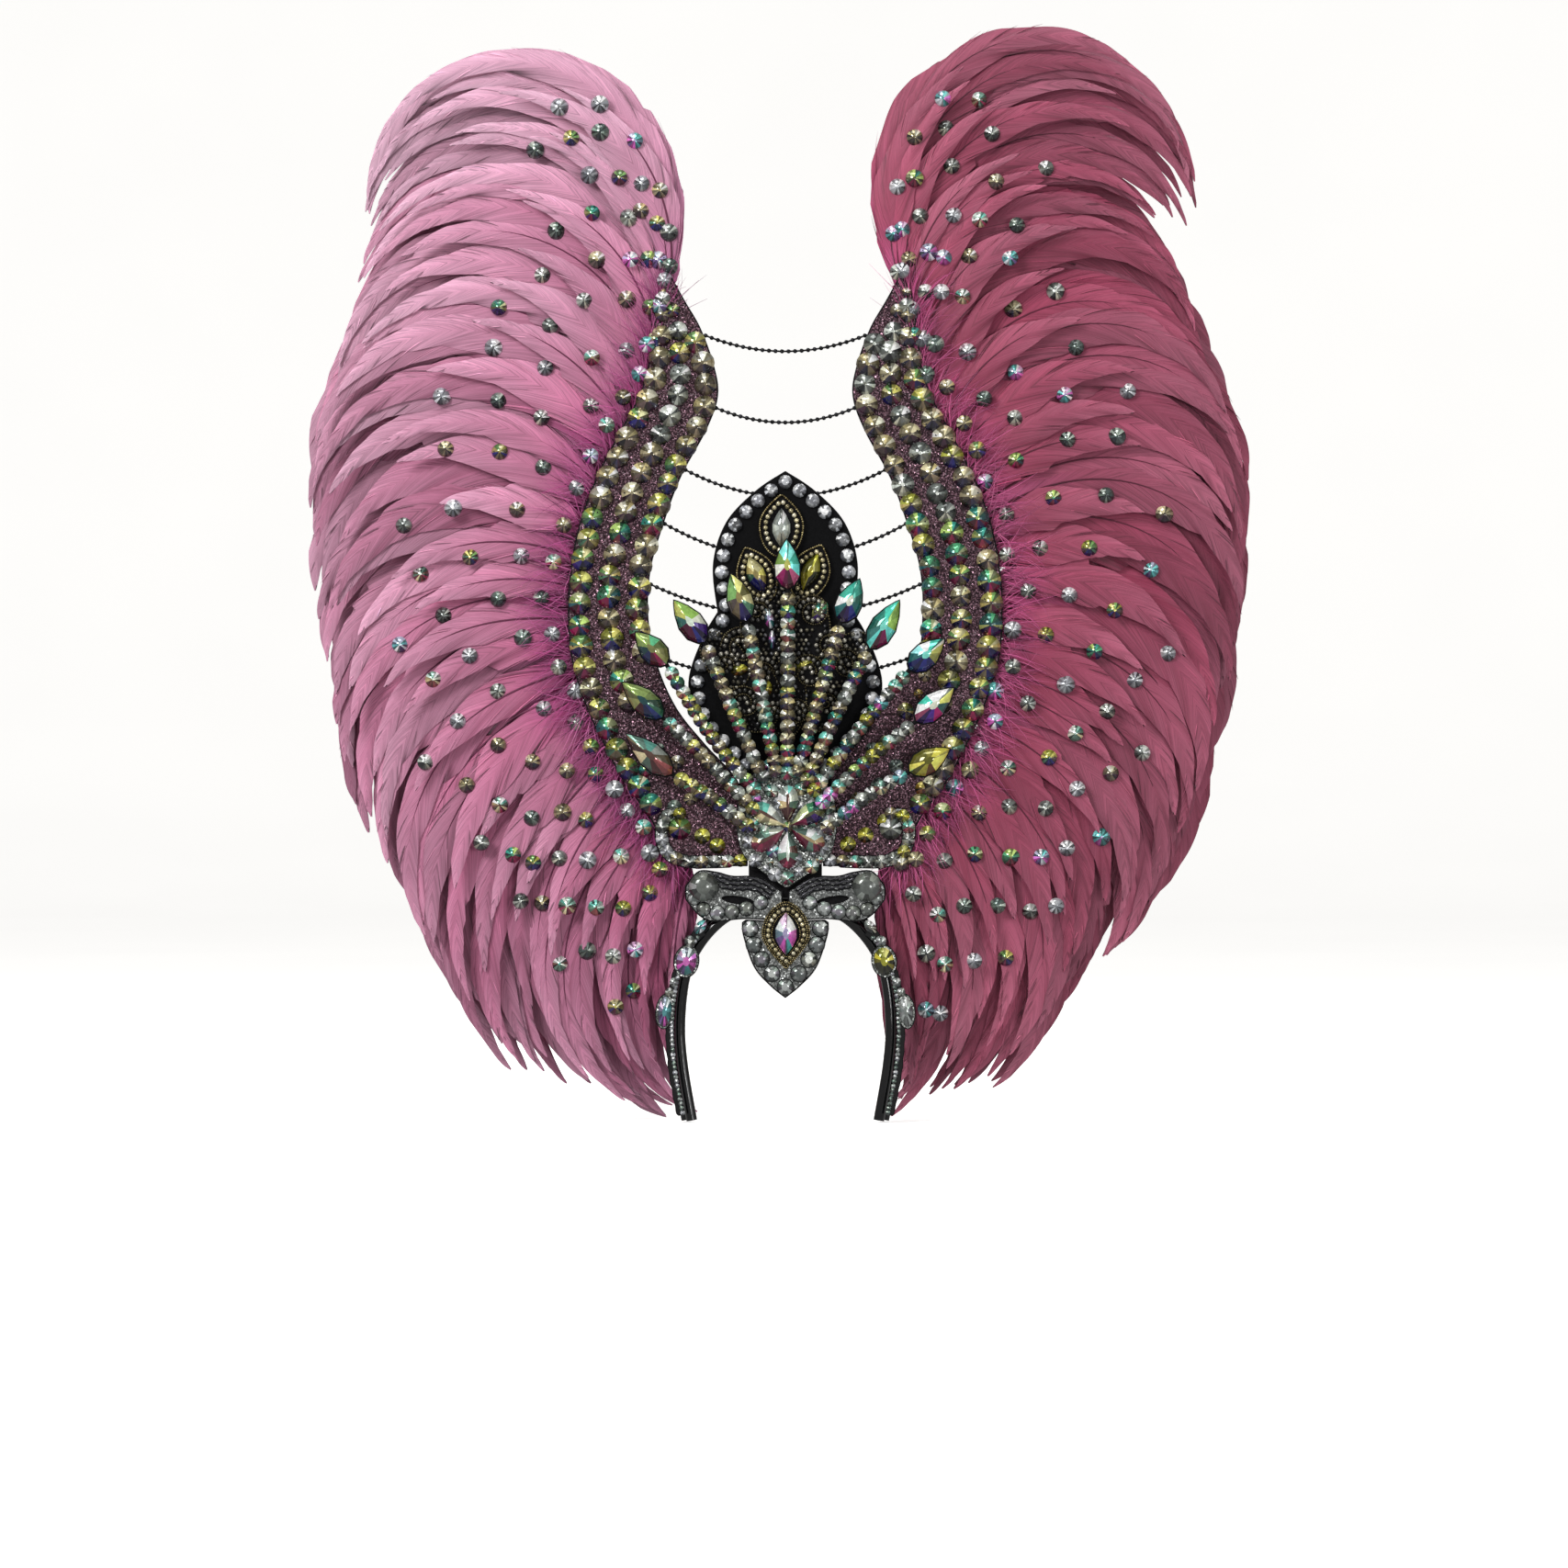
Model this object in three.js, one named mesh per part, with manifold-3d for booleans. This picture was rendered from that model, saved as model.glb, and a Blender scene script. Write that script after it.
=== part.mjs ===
// Carnival feather headdress: a face-framing headband that carries a velvet panel, a stone flower
// with rays, two stone-covered lyre boards, chains, scrolls, a forehead drop and two feather fans.
// Millimetres, +Z up, front facing -Y, origin at the crown seat under the headband's arch.

import * as THREE from 'three';
import { mergeVertices } from 'three/addons/utils/BufferGeometryUtils.js';
import Module from 'manifold-3d';

const wasm = await Module();
wasm.setup();

// Driving dimensions. Everything is drawn as seen from the front: x to the right, y up, and
// depth towards the viewer. Depth 0 is the back of the velvet panel.
const GAP = 0.3;
const SINK = 0.6;

const BAND_RADIUS = 4.2;
const BAND_DEPTH = -BAND_RADIUS - GAP;
const FRONT_BAND = { top: 0, end: 0 };
const REAR_BAND_OFFSET = { top: 7.5, end: 4 };
const REAR_BAND_SETBACK = { top: 9, end: 8 };

const PANEL_THICK = 3;
const BOARD_THICK = 3;
const BOARD_FRONT = -GAP;
const BOARD_BACK = BOARD_FRONT - BOARD_THICK;

const HUB_THICK = 3;
const HUB_BACK = PANEL_THICK + GAP;
const HUB_FRONT = HUB_BACK + HUB_THICK;
const HUB_CENTRE = { x: 2, y: 63 };
const HUB_OFFSET = 1;

const APPLIQUE_BACK = PANEL_THICK + GAP;
const APPLIQUE_THICK = 2.4;
const APPLIQUE_CROWN = { wide: 0.8, long: 0.85 };
const LEAF_SIDES = 8;
const PETAL_RISE = 1.2;

// The stalks run from the hub plate to the back of the tip stones, which lean forward.
const STALK = { radius: 3.8, arch: 1.5, intoStone: 4, sides: 5, steps: 2 };
const RAY_TIP = { width: 20, thick: 6, peak: 0.5, neckDepth: 16, tipDepth: 20 };
const RAY_BASE_DEPTH = HUB_FRONT + GAP + STALK.radius;

const BOARD_STONE = { radius: 7, rise: 4 };
const SCROLL_STONE = { radius: 4.4, rise: 3 };
const STONE_SIDES = 8;
const OVAL_SIDES = 10;
const DOME = { angles: [0, 40, 72], sides: 12 };

// Shares of a cut stone's size: its table's half width and half length, how far up its girdle
// reaches, and the back and table of a long stone with the swell of its sides.
const TABLE = { wide: 0.5, long: 0.55 };
const GIRDLE_RISE = 0.35;
const LONG_CUT = { back: 0.7, table: 0.5, swell: 1.1, sides: 4 };

const CHAIN_RADIUS = 2;
const CHAIN_DEPTH = BOARD_FRONT - CHAIN_RADIUS;
const CHAIN_STEP = 13;
const CHAIN_SIDES = 6;

// Feathers are fused to a bar behind the board's outer edge, in layers from front to back. Each
// lies in a plane that leans back from its root, and the back layers lean back most.
const FEATHER_BAR = { inset: 2, width: 9, front: BOARD_BACK - GAP, depth: 17, stretch: 50 };
const BLADE = {
  rootWidth: 16, tipWidth: 3, widestAt: 0.42, taper: 1.7, thick: 2.4, tipThin: 0.4,
};
const BLADE_SEGMENTS = 6;
const STRIDES_PER_SEGMENT = 6;
const CURL_POWER = 1.25;
const SHORT_BLADE = { length: 0.66, width: 0.85 };
const FAN_LAYER = { first: 2, pitch: 3.3 };
const FAN_LEAN = { first: 0, step: 0.055 };

// Outline of a lyre board: distance from the middle to its inner and outer edge at each height.
const BOARD_ROWS = [
  { height: 480, inner: 86, outer: 90 },
  { height: 462, inner: 76, outer: 98 },
  { height: 441, inner: 64, outer: 100 },
  { height: 413, inner: 54, outer: 104 },
  { height: 390, inner: 51, outer: 111 },
  { height: 364, inner: 60, outer: 125 },
  { height: 329, inner: 79, outer: 143 },
  { height: 294, inner: 92, outer: 156 },
  { height: 259, inner: 102, outer: 163 },
  { height: 224, inner: 104, outer: 165 },
  { height: 189, inner: 98, outer: 162 },
  { height: 154, inner: 83, outer: 151 },
  { height: 126, inner: 61, outer: 138 },
  { height: 98, inner: 36, outer: 123 },
  { height: 70, inner: 28.5, outer: 103 },
  { height: 50, inner: 28.5, outer: 92 },
  { height: 33, inner: 28.5, outer: 78 },
];
// Heights at which the right board reaches further in than the left one, behind its rays.
const RIGHT_INNER = { 189: 99, 154: 73, 126: 51, 98: 30 };

// Half outline of the velvet panel, in three stretches that meet at corners.
const PANEL_UPPER_LOBE = [
  { half: 0, height: 333 },
  { half: 22.5, height: 318 },
  { half: 45, height: 294 },
  { half: 55, height: 262 },
  { half: 51.5, height: 226 },
];
const PANEL_LOWER_LOBE = [
  { half: 51.5, height: 226 },
  { half: 63, height: 206 },
  { half: 73.5, height: 174 },
  { half: 68, height: 144 },
  { half: 52, height: 123 },
  { half: 35, height: 105 },
];
const PANEL_NECK = [
  { half: 35, height: 60 },
  { half: 28, height: 42 },
  { half: 26, height: 30 },
];

// The beaded flower on the panel: leaves with a centre, half sizes and a lean in degrees.
const APPLIQUE_LEAVES = [
  { x: -3, y: 292, halfWide: 16, halfTall: 22.5, lean: 0, petal: true },
  { x: -22, y: 254, halfWide: 14, halfTall: 21, lean: 24, petal: true },
  { x: 19, y: 256, halfWide: 14, halfTall: 21, lean: -24, petal: true },
  { x: -1, y: 258, halfWide: 9, halfTall: 22, lean: 0, petal: false },
  { x: 0, y: 214, halfWide: 34, halfTall: 34, lean: 0, petal: false },
  { x: -46, y: 190, halfWide: 15, halfTall: 24, lean: 38, petal: false },
  { x: 46, y: 190, halfWide: 15, halfTall: 24, lean: -38, petal: false },
  { x: -26, y: 164, halfWide: 22, halfTall: 30, lean: 20, petal: false },
  { x: 26, y: 164, halfWide: 22, halfTall: 30, lean: -20, petal: false },
  { x: 0, y: 160, halfWide: 16, halfTall: 30, lean: 0, petal: false },
];
const APPLIQUE_STONES = [
  { name: 'applique_stone_top', x: -3, y: 291, long: 28, wide: 13, lean: 0 },
  { name: 'applique_stone_left', x: -22, y: 254, long: 27, wide: 12, lean: 24 },
  { name: 'applique_stone_right', x: 19, y: 256, long: 27, wide: 12, lean: -24 },
];

// Rays, clockwise from the lower left: outer and inner end of the tip stone, end of the stalk
// on the hub plate, and how far the stalk bows upwards.
const RAYS = [
  { tip: [-120, 133], neck: [-86, 103], base: [-29, 64], bow: 2 },
  { tip: [-123, 172], neck: [-93, 146], base: [-25, 77], bow: 2 },
  { tip: [-113, 210], neck: [-90, 186], base: [-24, 92], bow: -6 },
  { tip: [-84, 234], neck: [-61, 203], base: [-17, 101], bow: -3 },
  { tip: [-41, 254], neck: [-29, 219], base: [-7, 105], bow: 0 },
  { tip: [1, 280], neck: [2, 243], base: [1.5, 104], bow: 0 },
  { tip: [56, 250], neck: [42, 218], base: [9.5, 105], bow: 0 },
  { tip: [86, 234], neck: [64, 198], base: [17, 99], bow: 3 },
  { tip: [120, 205], neck: [94, 182], base: [22, 91], bow: 3 },
  { tip: [127, 168], neck: [99, 143], base: [28, 82], bow: 2 },
  { tip: [124, 122], neck: [94, 105], base: [32, 63], bow: 3 },
];

const HUB_ROWS = [
  { half: 12, height: 114 },
  { half: 25, height: 104 },
  { half: 36, height: 84 },
  { half: 38, height: 62 },
  { half: 34, height: 44 },
  { half: 24, height: 33 },
  { half: 1.5, height: 17 },
];
const FLOWER = { count: 6, inner: 4, long: 26, width: 14, thick: 5, peak: 0.64 };
const FLOWER_CENTRE = { radius: 3.2, rise: 5 };

// Middle line of the upper scroll, from the hub outwards to its curl.
const UPPER_SCROLL = [
  { x: 34, y: 37.5 },
  { x: 54, y: 36.5 },
  { x: 75, y: 37 },
  { x: 89, y: 43 },
  { x: 94, y: 58 },
  { x: 90, y: 71 },
  { x: 80, y: 73 },
];
const UPPER_SCROLL_BAND = { width: 10, thick: 2.4, stones: 6, firstStone: 0.6, divisions: 10 };
const CURL_STONE = { radius: 8.5, rise: 6, x: 80, y: 62 };

// Outline of the lower scroll and the slot sunk into its front, which has a thin floor.
const LOWER_SCROLL_TOP = [
  { x: 2, y: 14 },
  { x: 20, y: 25 },
  { x: 40, y: 26 },
  { x: 52, y: 29 },
  { x: 66, y: 29.5 },
  { x: 76, y: 18 },
];
const LOWER_SCROLL_BOTTOM = [
  { x: 76, y: 8 },
  { x: 66, y: -4 },
  { x: 54, y: -9 },
  { x: 30, y: -7 },
  { x: 2, y: -9 },
];
const SCROLL_SLOT = { x: 37, y: 7, long: 24, wide: 6, lean: 10, floor: 0.8 };
const SCROLL_THICK = 3;
const ROUND_STONE = { radius: 12.5, rise: 7, x: 62, y: 17 };
const LOWER_SCROLL_STONES = [
  { x: 24, y: -1.5 },
  { x: 37, y: -2 },
  { x: 50, y: -2.5 },
  { x: 63, y: 0.5 },
];

const DROP_SIDE = [
  { half: 33, height: -9.4 },
  { half: 32, height: -20 },
  { half: 23.8, height: -43.5 },
  { half: 11.2, height: -58 },
  { half: 0, height: -67 },
];
const DROP = { thick: 2, front: 3, point: -67 };
const DROP_FRAME = { x: 0.5, y: -19, halfWide: 18, halfTall: 25, wall: 1, thick: 2.4 };
const DROP_CROWN = { wide: 0.84, long: 0.88 };
const DROP_SIDES = 12;
const DROP_STONE = { x: 0.5, y: -18, long: 32, wide: 17, lean: 0, rise: 5 };
const DROP_EDGE_STONE = {
  radius: 5, rise: 3, perSide: 5, first: 0.4, spare: 0.7, inset: 6.5, above: 8,
};

// Middle line of the front band over one half, from the crown to the end of the leg.
const BAND_HALF = [
  { x: 0, y: 4.2 },
  { x: 26, y: 2 },
  { x: 47, y: -7 },
  { x: 65, y: -26 },
  { x: 76, y: -50 },
  { x: 80, y: -86 },
  { x: 78, y: -118 },
  { x: 71, y: -160 },
];
const BAND_STEPS = 20;
const BAND_SIDES = 8;
// The arches are set apart upwards at the crown and outwards from this share of each half on.
const BAND_OUTWARDS_FROM = 0.526;

const TRIM_WIDTH = 11;
const TRIM_DIVISIONS = 7;
const TRIM_THICK = 2.4;
const TRIM_RIM = 2.5;
const TRIM_STONE_RISE = 3.4;
const TRIM_LINE = [
  { x: 63, y: -15 },
  { x: 74, y: -28 },
  { x: 83, y: -52 },
  { x: 86.5, y: -84 },
  { x: 84, y: -119 },
  { x: 77, y: -156 },
];
const TRIM_STONES = [
  { x: 63.5, y: -15, long: 10, wide: 9, lean: 40 },
  { x: 74.5, y: -37, long: 21, wide: 17, lean: 20 },
  { x: 90, y: -77, long: 23, wide: 13, lean: 8 },
];

// Chains: half span where each end meets the boards, height of the ends, and the sag.
const CHAINS = [
  { half: 60.5, height: 436, sag: 12 },
  { half: 52.6, height: 381, sag: 11 },
  { half: 75.8, height: 334, sag: 20 },
  { half: 91.5, height: 293, sag: 26 },
  { half: 102.1, height: 247, sag: 24 },
  { half: 96.8, height: 192, sag: 18 },
];

const BLOCK = { half: 27.8, bottom: 9.3, top: 90, depth: 8.8 };

// Feather guides from the top of a fan to its bottom: height of the root on the board's outer
// edge, heading at the root in degrees above straight outwards, turn along the feather, length and
// greatest width.
const GUIDES_LEFT = [
  { root: 470, start: 96, turn: -182, length: 388, width: 50 },
  { root: 455, start: 90, turn: -155, length: 333, width: 60 },
  { root: 434, start: 88, turn: -159, length: 328, width: 60 },
  { root: 410, start: 80, turn: -153, length: 309, width: 62 },
  { root: 385, start: 64, turn: -146, length: 316, width: 70 },
  { root: 350, start: 58, turn: -149, length: 318, width: 76 },
  { root: 315, start: 44, turn: -138, length: 293, width: 78 },
  { root: 273, start: 24, turn: -120, length: 261, width: 80 },
  { root: 231, start: 10, turn: -111, length: 260, width: 80 },
  { root: 192, start: -7, turn: -122, length: 290, width: 78 },
  { root: 164, start: -28, turn: -110, length: 328, width: 74 },
  { root: 133, start: -41, turn: -82, length: 284, width: 70 },
  { root: 105, start: -39, turn: -100, length: 256, width: 66 },
  { root: 80, start: -42, turn: -120, length: 292, width: 62 },
  { root: 59, start: -54, turn: -86, length: 236, width: 50 },
  { root: 42, start: -66, turn: -46, length: 182, width: 34 },
];
const GUIDES_RIGHT = [
  { root: 470, start: 103, turn: -188, length: 406, width: 50 },
  { root: 455, start: 98, turn: -178, length: 380, width: 64 },
  { root: 434, start: 87, turn: -147, length: 298, width: 60 },
  { root: 413, start: 82, turn: -147, length: 296, width: 62 },
  { root: 385, start: 80, turn: -168, length: 330, width: 72 },
  { root: 350, start: 59, turn: -164, length: 326, width: 78 },
  { root: 322, start: 46, turn: -148, length: 295, width: 80 },
  { root: 280, start: 26, turn: -130, length: 274, width: 80 },
  { root: 238, start: 6, turn: -131, length: 296, width: 78 },
  { root: 192, start: -6, turn: -135, length: 296, width: 76 },
  { root: 161, start: -18, turn: -113, length: 263, width: 74 },
  { root: 130, start: -30, turn: -96, length: 243, width: 70 },
  { root: 105, start: -38, turn: -114, length: 298, width: 68 },
  { root: 80, start: -47, turn: -85, length: 234, width: 60 },
  { root: 55, start: -59, turn: -80, length: 225, width: 50 },
  { root: 40, start: -69, turn: -44, length: 186, width: 34 },
];

// Guide rows of the fan's five sections, with the depth layer of each row, and the places between
// rows where a short feather lies in front. Places count along the guide table, layers go back.
const FAN_SECTIONS = [
  { first: 0, layers: [2, 4, 3, 2, 4], short: [[0.6, 0], [2.4, 1], [3.6, 0]] },
  { first: 5, layers: [3, 2], short: [[5.5, 1]] },
  { first: 7, layers: [4, 3], short: [[7.5, 0]] },
  { first: 9, layers: [2, 4], short: [[9.5, 1]] },
  { first: 11, layers: [3, 4, 2, 3, 4], short: [[11.6, 0], [13.2, 1]] },
];
const FAN_END = { above: 6, below: 5 };

// Width of a strip's ends as a share of its width.
const STRIP_END = 0.55;

const COLOURS = {
  feather: 0xb86c92,
  velvet: 0x0b0b0d,
  patent: 0x08080a,
  glitter: 0x5a4a52,
  gold: 0x8d8363,
  crystal: 0xb9b79a,
  silver: 0x9fa19f,
  grey: 0x5c5e60,
  jet: 0x111114,
};

function finish(colour, roughness, metalness) {
  return new THREE.MeshStandardMaterial({ color: COLOURS[colour], roughness, metalness });
}

const FINISHES = {
  feather: finish('feather', 0.7, 0),
  velvet: finish('velvet', 0.95, 0),
  patent: finish('patent', 0.12, 0),
  glitter: finish('glitter', 0.35, 0.4),
  gold: finish('gold', 0.35, 0.9),
  crystal: finish('crystal', 0.08, 0.5),
  silver: finish('silver', 0.2, 0.8),
  grey: finish('grey', 0.4, 0.4),
  jet: finish('jet', 0.3, 0.3),
};

// Solids and meshes.
function toSolid(geometry) {
  const bare = geometry.clone();
  bare.deleteAttribute('normal');
  bare.deleteAttribute('uv');
  const merged = mergeVertices(bare, 1e-4);
  return new wasm.Manifold(new wasm.Mesh({
    numProp: 3,
    vertProperties: new Float32Array(merged.attributes.position.array),
    triVerts: new Uint32Array(merged.index.array),
  }));
}

function toGeometry(solid) {
  const mesh = solid.getMesh();
  const geometry = new THREE.BufferGeometry();
  geometry.setAttribute('position', new THREE.BufferAttribute(mesh.vertProperties, 3));
  geometry.setIndex(new THREE.BufferAttribute(mesh.triVerts, 1));
  geometry.computeVertexNormals();
  return geometry;
}

function fuse(geometries) {
  return toGeometry(geometries.map(toSolid).reduce((whole, piece) => whole.add(piece)));
}

function cut(geometry, tool) {
  return toGeometry(toSolid(geometry).subtract(toSolid(tool)));
}

// A closed body through rings of equal count, each ring running anticlockwise as seen from
// the end of the loft.
function loft(rings) {
  const count = rings[0].length;
  const points = rings.flat();
  const faces = [];
  for (let ring = 0; ring + 1 < rings.length; ring += 1) {
    for (let side = 0; side < count; side += 1) {
      const next = (side + 1) % count;
      const a = ring * count + side;
      const b = ring * count + next;
      faces.push(a, b, b + count, a, b + count, a + count);
    }
  }
  const last = (rings.length - 1) * count;
  for (let side = 1; side + 1 < count; side += 1) {
    faces.push(0, side + 1, side);
    faces.push(last, last + side, last + side + 1);
  }
  const geometry = new THREE.BufferGeometry();
  const flat = points.flatMap((point) => [point.x, point.y, point.z]);
  geometry.setAttribute('position', new THREE.Float32BufferAttribute(flat, 3));
  geometry.setIndex(faces);
  geometry.computeVertexNormals();
  return geometry;
}

function plate(points, back, thick) {
  const geometry = new THREE.ExtrudeGeometry(new THREE.Shape(points), {
    depth: thick,
    bevelEnabled: false,
    steps: 1,
    curveSegments: 1,
  });
  return geometry.translate(0, 0, back);
}

function flatPoint(x, y) {
  return new THREE.Vector2(x, y);
}

function spline(points, divisions) {
  return new THREE.SplineCurve(points).getPoints(divisions);
}

// Cut stones: rings of an outline from the seat to the table.
function ellipseRing(half, depth, place, sides) {
  const ring = [];
  for (let side = 0; side < sides; side += 1) {
    const angle = ((side + 0.5) / sides) * 2 * Math.PI;
    const along = Math.cos(angle) * half.wide;
    const up = Math.sin(angle) * half.long;
    const turned = flatPoint(along, up).rotateAround(flatPoint(0, 0), place.turn || 0);
    ring.push(new THREE.Vector3(place.x + turned.x, place.y + turned.y, depth));
  }
  return ring;
}

function roundStone(x, y, back, { radius, rise }, sides = STONE_SIDES) {
  const place = { x, y };
  const table = radius * TABLE.wide;
  return loft([
    ellipseRing({ wide: radius, long: radius }, back, place, sides),
    ellipseRing({ wide: table, long: table }, back + rise, place, sides),
  ]);
}

function ovalStone(stone, back, rise, sides = OVAL_SIDES) {
  const place = { x: stone.x, y: stone.y, turn: THREE.MathUtils.degToRad(stone.lean) };
  const half = { wide: stone.wide / 2, long: stone.long / 2 };
  const table = { wide: half.wide * TABLE.wide, long: half.long * TABLE.long };
  return loft([
    ellipseRing(half, back, place, sides),
    ellipseRing(half, back + rise * GIRDLE_RISE, place, sides),
    ellipseRing(table, back + rise, place, sides),
  ]);
}

function domeStone(x, y, back, { radius, rise }) {
  const place = { x, y };
  const rings = [];
  for (const angle of DOME.angles) {
    const reach = radius * Math.cos(THREE.MathUtils.degToRad(angle));
    const depth = back + rise * Math.sin(THREE.MathUtils.degToRad(angle));
    rings.push(ellipseRing({ wide: reach, long: reach }, depth, place, DOME.sides));
  }
  return loft(rings);
}

// A pointed or rounded petal outline along +x, from 0 to 1, with its widest place at the peak.
function petalOutline(peak) {
  const upper = [];
  for (let step = 1; step < LONG_CUT.sides; step += 1) {
    const along = step / LONG_CUT.sides;
    const share = along < peak ? along / peak : (1 - along) / (1 - peak);
    upper.push(flatPoint(along, Math.sin((share * Math.PI) / 2) ** LONG_CUT.swell));
  }
  const lower = upper.map((point) => flatPoint(point.x, -point.y));
  return [flatPoint(0, 0), ...lower, flatPoint(1, 0), ...upper.reverse()];
}

// A long cut stone from one end point to the other, at the given depths.
function longStone(from, to, { width, thick, peak }, depthFrom, depthTo) {
  const axis = flatPoint(to[0] - from[0], to[1] - from[1]);
  const long = axis.length();
  axis.normalize();
  const across = flatPoint(-axis.y, axis.x);
  const outline = petalOutline(peak);
  const ring = (scale, lift) => outline.map((point) => {
    const along = (peak + (point.x - peak) * scale) * long;
    const side = (point.y * scale * width) / 2;
    const depth = depthFrom + ((depthTo - depthFrom) * along) / long + lift;
    return new THREE.Vector3(
      from[0] + axis.x * along + across.x * side,
      from[1] + axis.y * along + across.y * side,
      depth,
    );
  });
  return loft([ring(LONG_CUT.back, -thick / 2), ring(1, 0), ring(LONG_CUT.table, thick / 2)]);
}

function tube(curve, radius, sides, steps) {
  const section = [];
  for (let side = 0; side < sides; side += 1) {
    const angle = (side / sides) * 2 * Math.PI;
    section.push(flatPoint(Math.cos(angle) * radius, Math.sin(angle) * radius));
  }
  return new THREE.ExtrudeGeometry(new THREE.Shape(section), {
    steps,
    bevelEnabled: false,
    extrudePath: curve,
  });
}

// A flat strip of even width along a line, as a plate.
function strip(line, width, back, thick, divisions) {
  const curve = new THREE.SplineCurve(line.map((row) => flatPoint(row.x, row.y)));
  const left = [];
  const right = [];
  for (let step = 0; step <= divisions; step += 1) {
    const point = curve.getPoint(step / divisions);
    const along = curve.getTangent(step / divisions);
    const ends = Math.min(step, divisions - step);
    const half = (width / 2) * (ends === 0 ? STRIP_END : 1);
    left.push(flatPoint(point.x - along.y * half, point.y + along.x * half));
    right.push(flatPoint(point.x + along.y * half, point.y - along.x * half));
  }
  return plate([...left, ...right.reverse()], back, thick);
}

function mirrored(points, side) {
  return side > 0 ? points : points.map((point) => flatPoint(-point.x, point.y)).reverse();
}

// Velvet panel with its edge stones.
function panelHalf() {
  const stretch = (rows, divisions) => spline(
    rows.map((row) => flatPoint(row.half, row.height)),
    divisions,
  );
  const neck = PANEL_NECK.map((row) => flatPoint(row.half, row.height));
  return [
    ...stretch(PANEL_UPPER_LOBE, 9),
    ...stretch(PANEL_LOWER_LOBE, 10).slice(1),
    ...neck,
  ];
}

function centrePanel() {
  const right = panelHalf();
  const left = right.slice(1).map((point) => flatPoint(-point.x, point.y)).reverse();
  const outline = [...left, ...right].reverse();
  return plate(outline, 0, PANEL_THICK);
}

// Beaded flower and scrollwork, one raised cluster of overlapping leaves.
function applique() {
  const leaves = APPLIQUE_LEAVES.map((leaf) => {
    const place = { x: leaf.x, y: leaf.y, turn: THREE.MathUtils.degToRad(leaf.lean) };
    const half = { wide: leaf.halfWide, long: leaf.halfTall };
    const crown = {
      wide: half.wide * APPLIQUE_CROWN.wide,
      long: half.long * APPLIQUE_CROWN.long,
    };
    const rise = APPLIQUE_THICK + (leaf.petal ? PETAL_RISE : 0);
    return loft([
      ellipseRing(half, APPLIQUE_BACK, place, LEAF_SIDES),
      ellipseRing(crown, APPLIQUE_BACK + rise, place, LEAF_SIDES),
    ]);
  });
  return fuse(leaves);
}

function appliqueStone(stone) {
  const back = APPLIQUE_BACK + APPLIQUE_THICK + PETAL_RISE + GAP;
  return ovalStone(stone, back, 4);
}

// Ray: a tapered stalk that leaves the hub plate and leans forward to its tip stone.
function ray(row) {
  const [neckX, neckY] = row.neck;
  const [baseX, baseY] = row.base;
  const along = flatPoint(row.tip[0] - neckX, row.tip[1] - neckY).normalize();
  const end = along.multiplyScalar(STALK.intoStone).add(flatPoint(neckX, neckY));
  const line = new THREE.CatmullRomCurve3([
    new THREE.Vector3(baseX, baseY, RAY_BASE_DEPTH),
    new THREE.Vector3(
      (neckX + baseX) / 2,
      (neckY + baseY) / 2 + row.bow,
      (RAY_TIP.neckDepth + RAY_BASE_DEPTH) / 2 + STALK.arch,
    ),
    new THREE.Vector3(end.x, end.y, RAY_TIP.neckDepth),
  ]);
  const stalk = tube(line, STALK.radius, STALK.sides, STALK.steps);
  return fuse([stalk, longStone(row.neck, row.tip, RAY_TIP, RAY_TIP.neckDepth, RAY_TIP.tipDepth)]);
}

// Hub plate and the stone flower on it.
function hubPlate() {
  const right = spline(HUB_ROWS.map((row) => flatPoint(row.half, row.height)), 12);
  const left = right.map((point) => flatPoint(-point.x, point.y)).reverse();
  const outline = [...left, ...right].reverse();
  outline.forEach((point) => { point.x += HUB_OFFSET; });
  return plate(outline, HUB_BACK, HUB_THICK);
}

function flowerStone(index) {
  const angle = (index / FLOWER.count) * 2 * Math.PI + Math.PI / 2;
  const reach = (distance) => [
    HUB_CENTRE.x + Math.cos(angle) * distance,
    HUB_CENTRE.y + Math.sin(angle) * distance,
  ];
  const depth = HUB_FRONT + GAP + FLOWER.thick / 2;
  return longStone(reach(FLOWER.inner), reach(FLOWER.inner + FLOWER.long), FLOWER, depth, depth);
}

// Lyre board with three staggered columns of stones.
function boardEdge(height, edge) {
  const below = BOARD_ROWS.findIndex((row, index) => index > 0 && row.height <= height);
  const lower = BOARD_ROWS[below];
  const upper = BOARD_ROWS[below - 1];
  const share = (height - lower.height) / (upper.height - lower.height);
  return lower[edge] + (upper[edge] - lower[edge]) * share;
}

function boardOutline(side) {
  const reach = (row) => (side > 0 && RIGHT_INNER[row.height]) || row.inner;
  const inner = spline(BOARD_ROWS.map((row) => flatPoint(reach(row), row.height)), 22);
  const outer = spline(BOARD_ROWS.map((row) => flatPoint(row.outer, row.height)), 20);
  return [...inner, ...outer.reverse()];
}

const BOARD_COLUMNS = [
  { share: 0.8, first: 446, last: 92, count: 11 },
  { share: 0.5, first: 420, last: 140, count: 8 },
  { share: 0.2, first: 400, last: 178, count: 6 },
];

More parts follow.
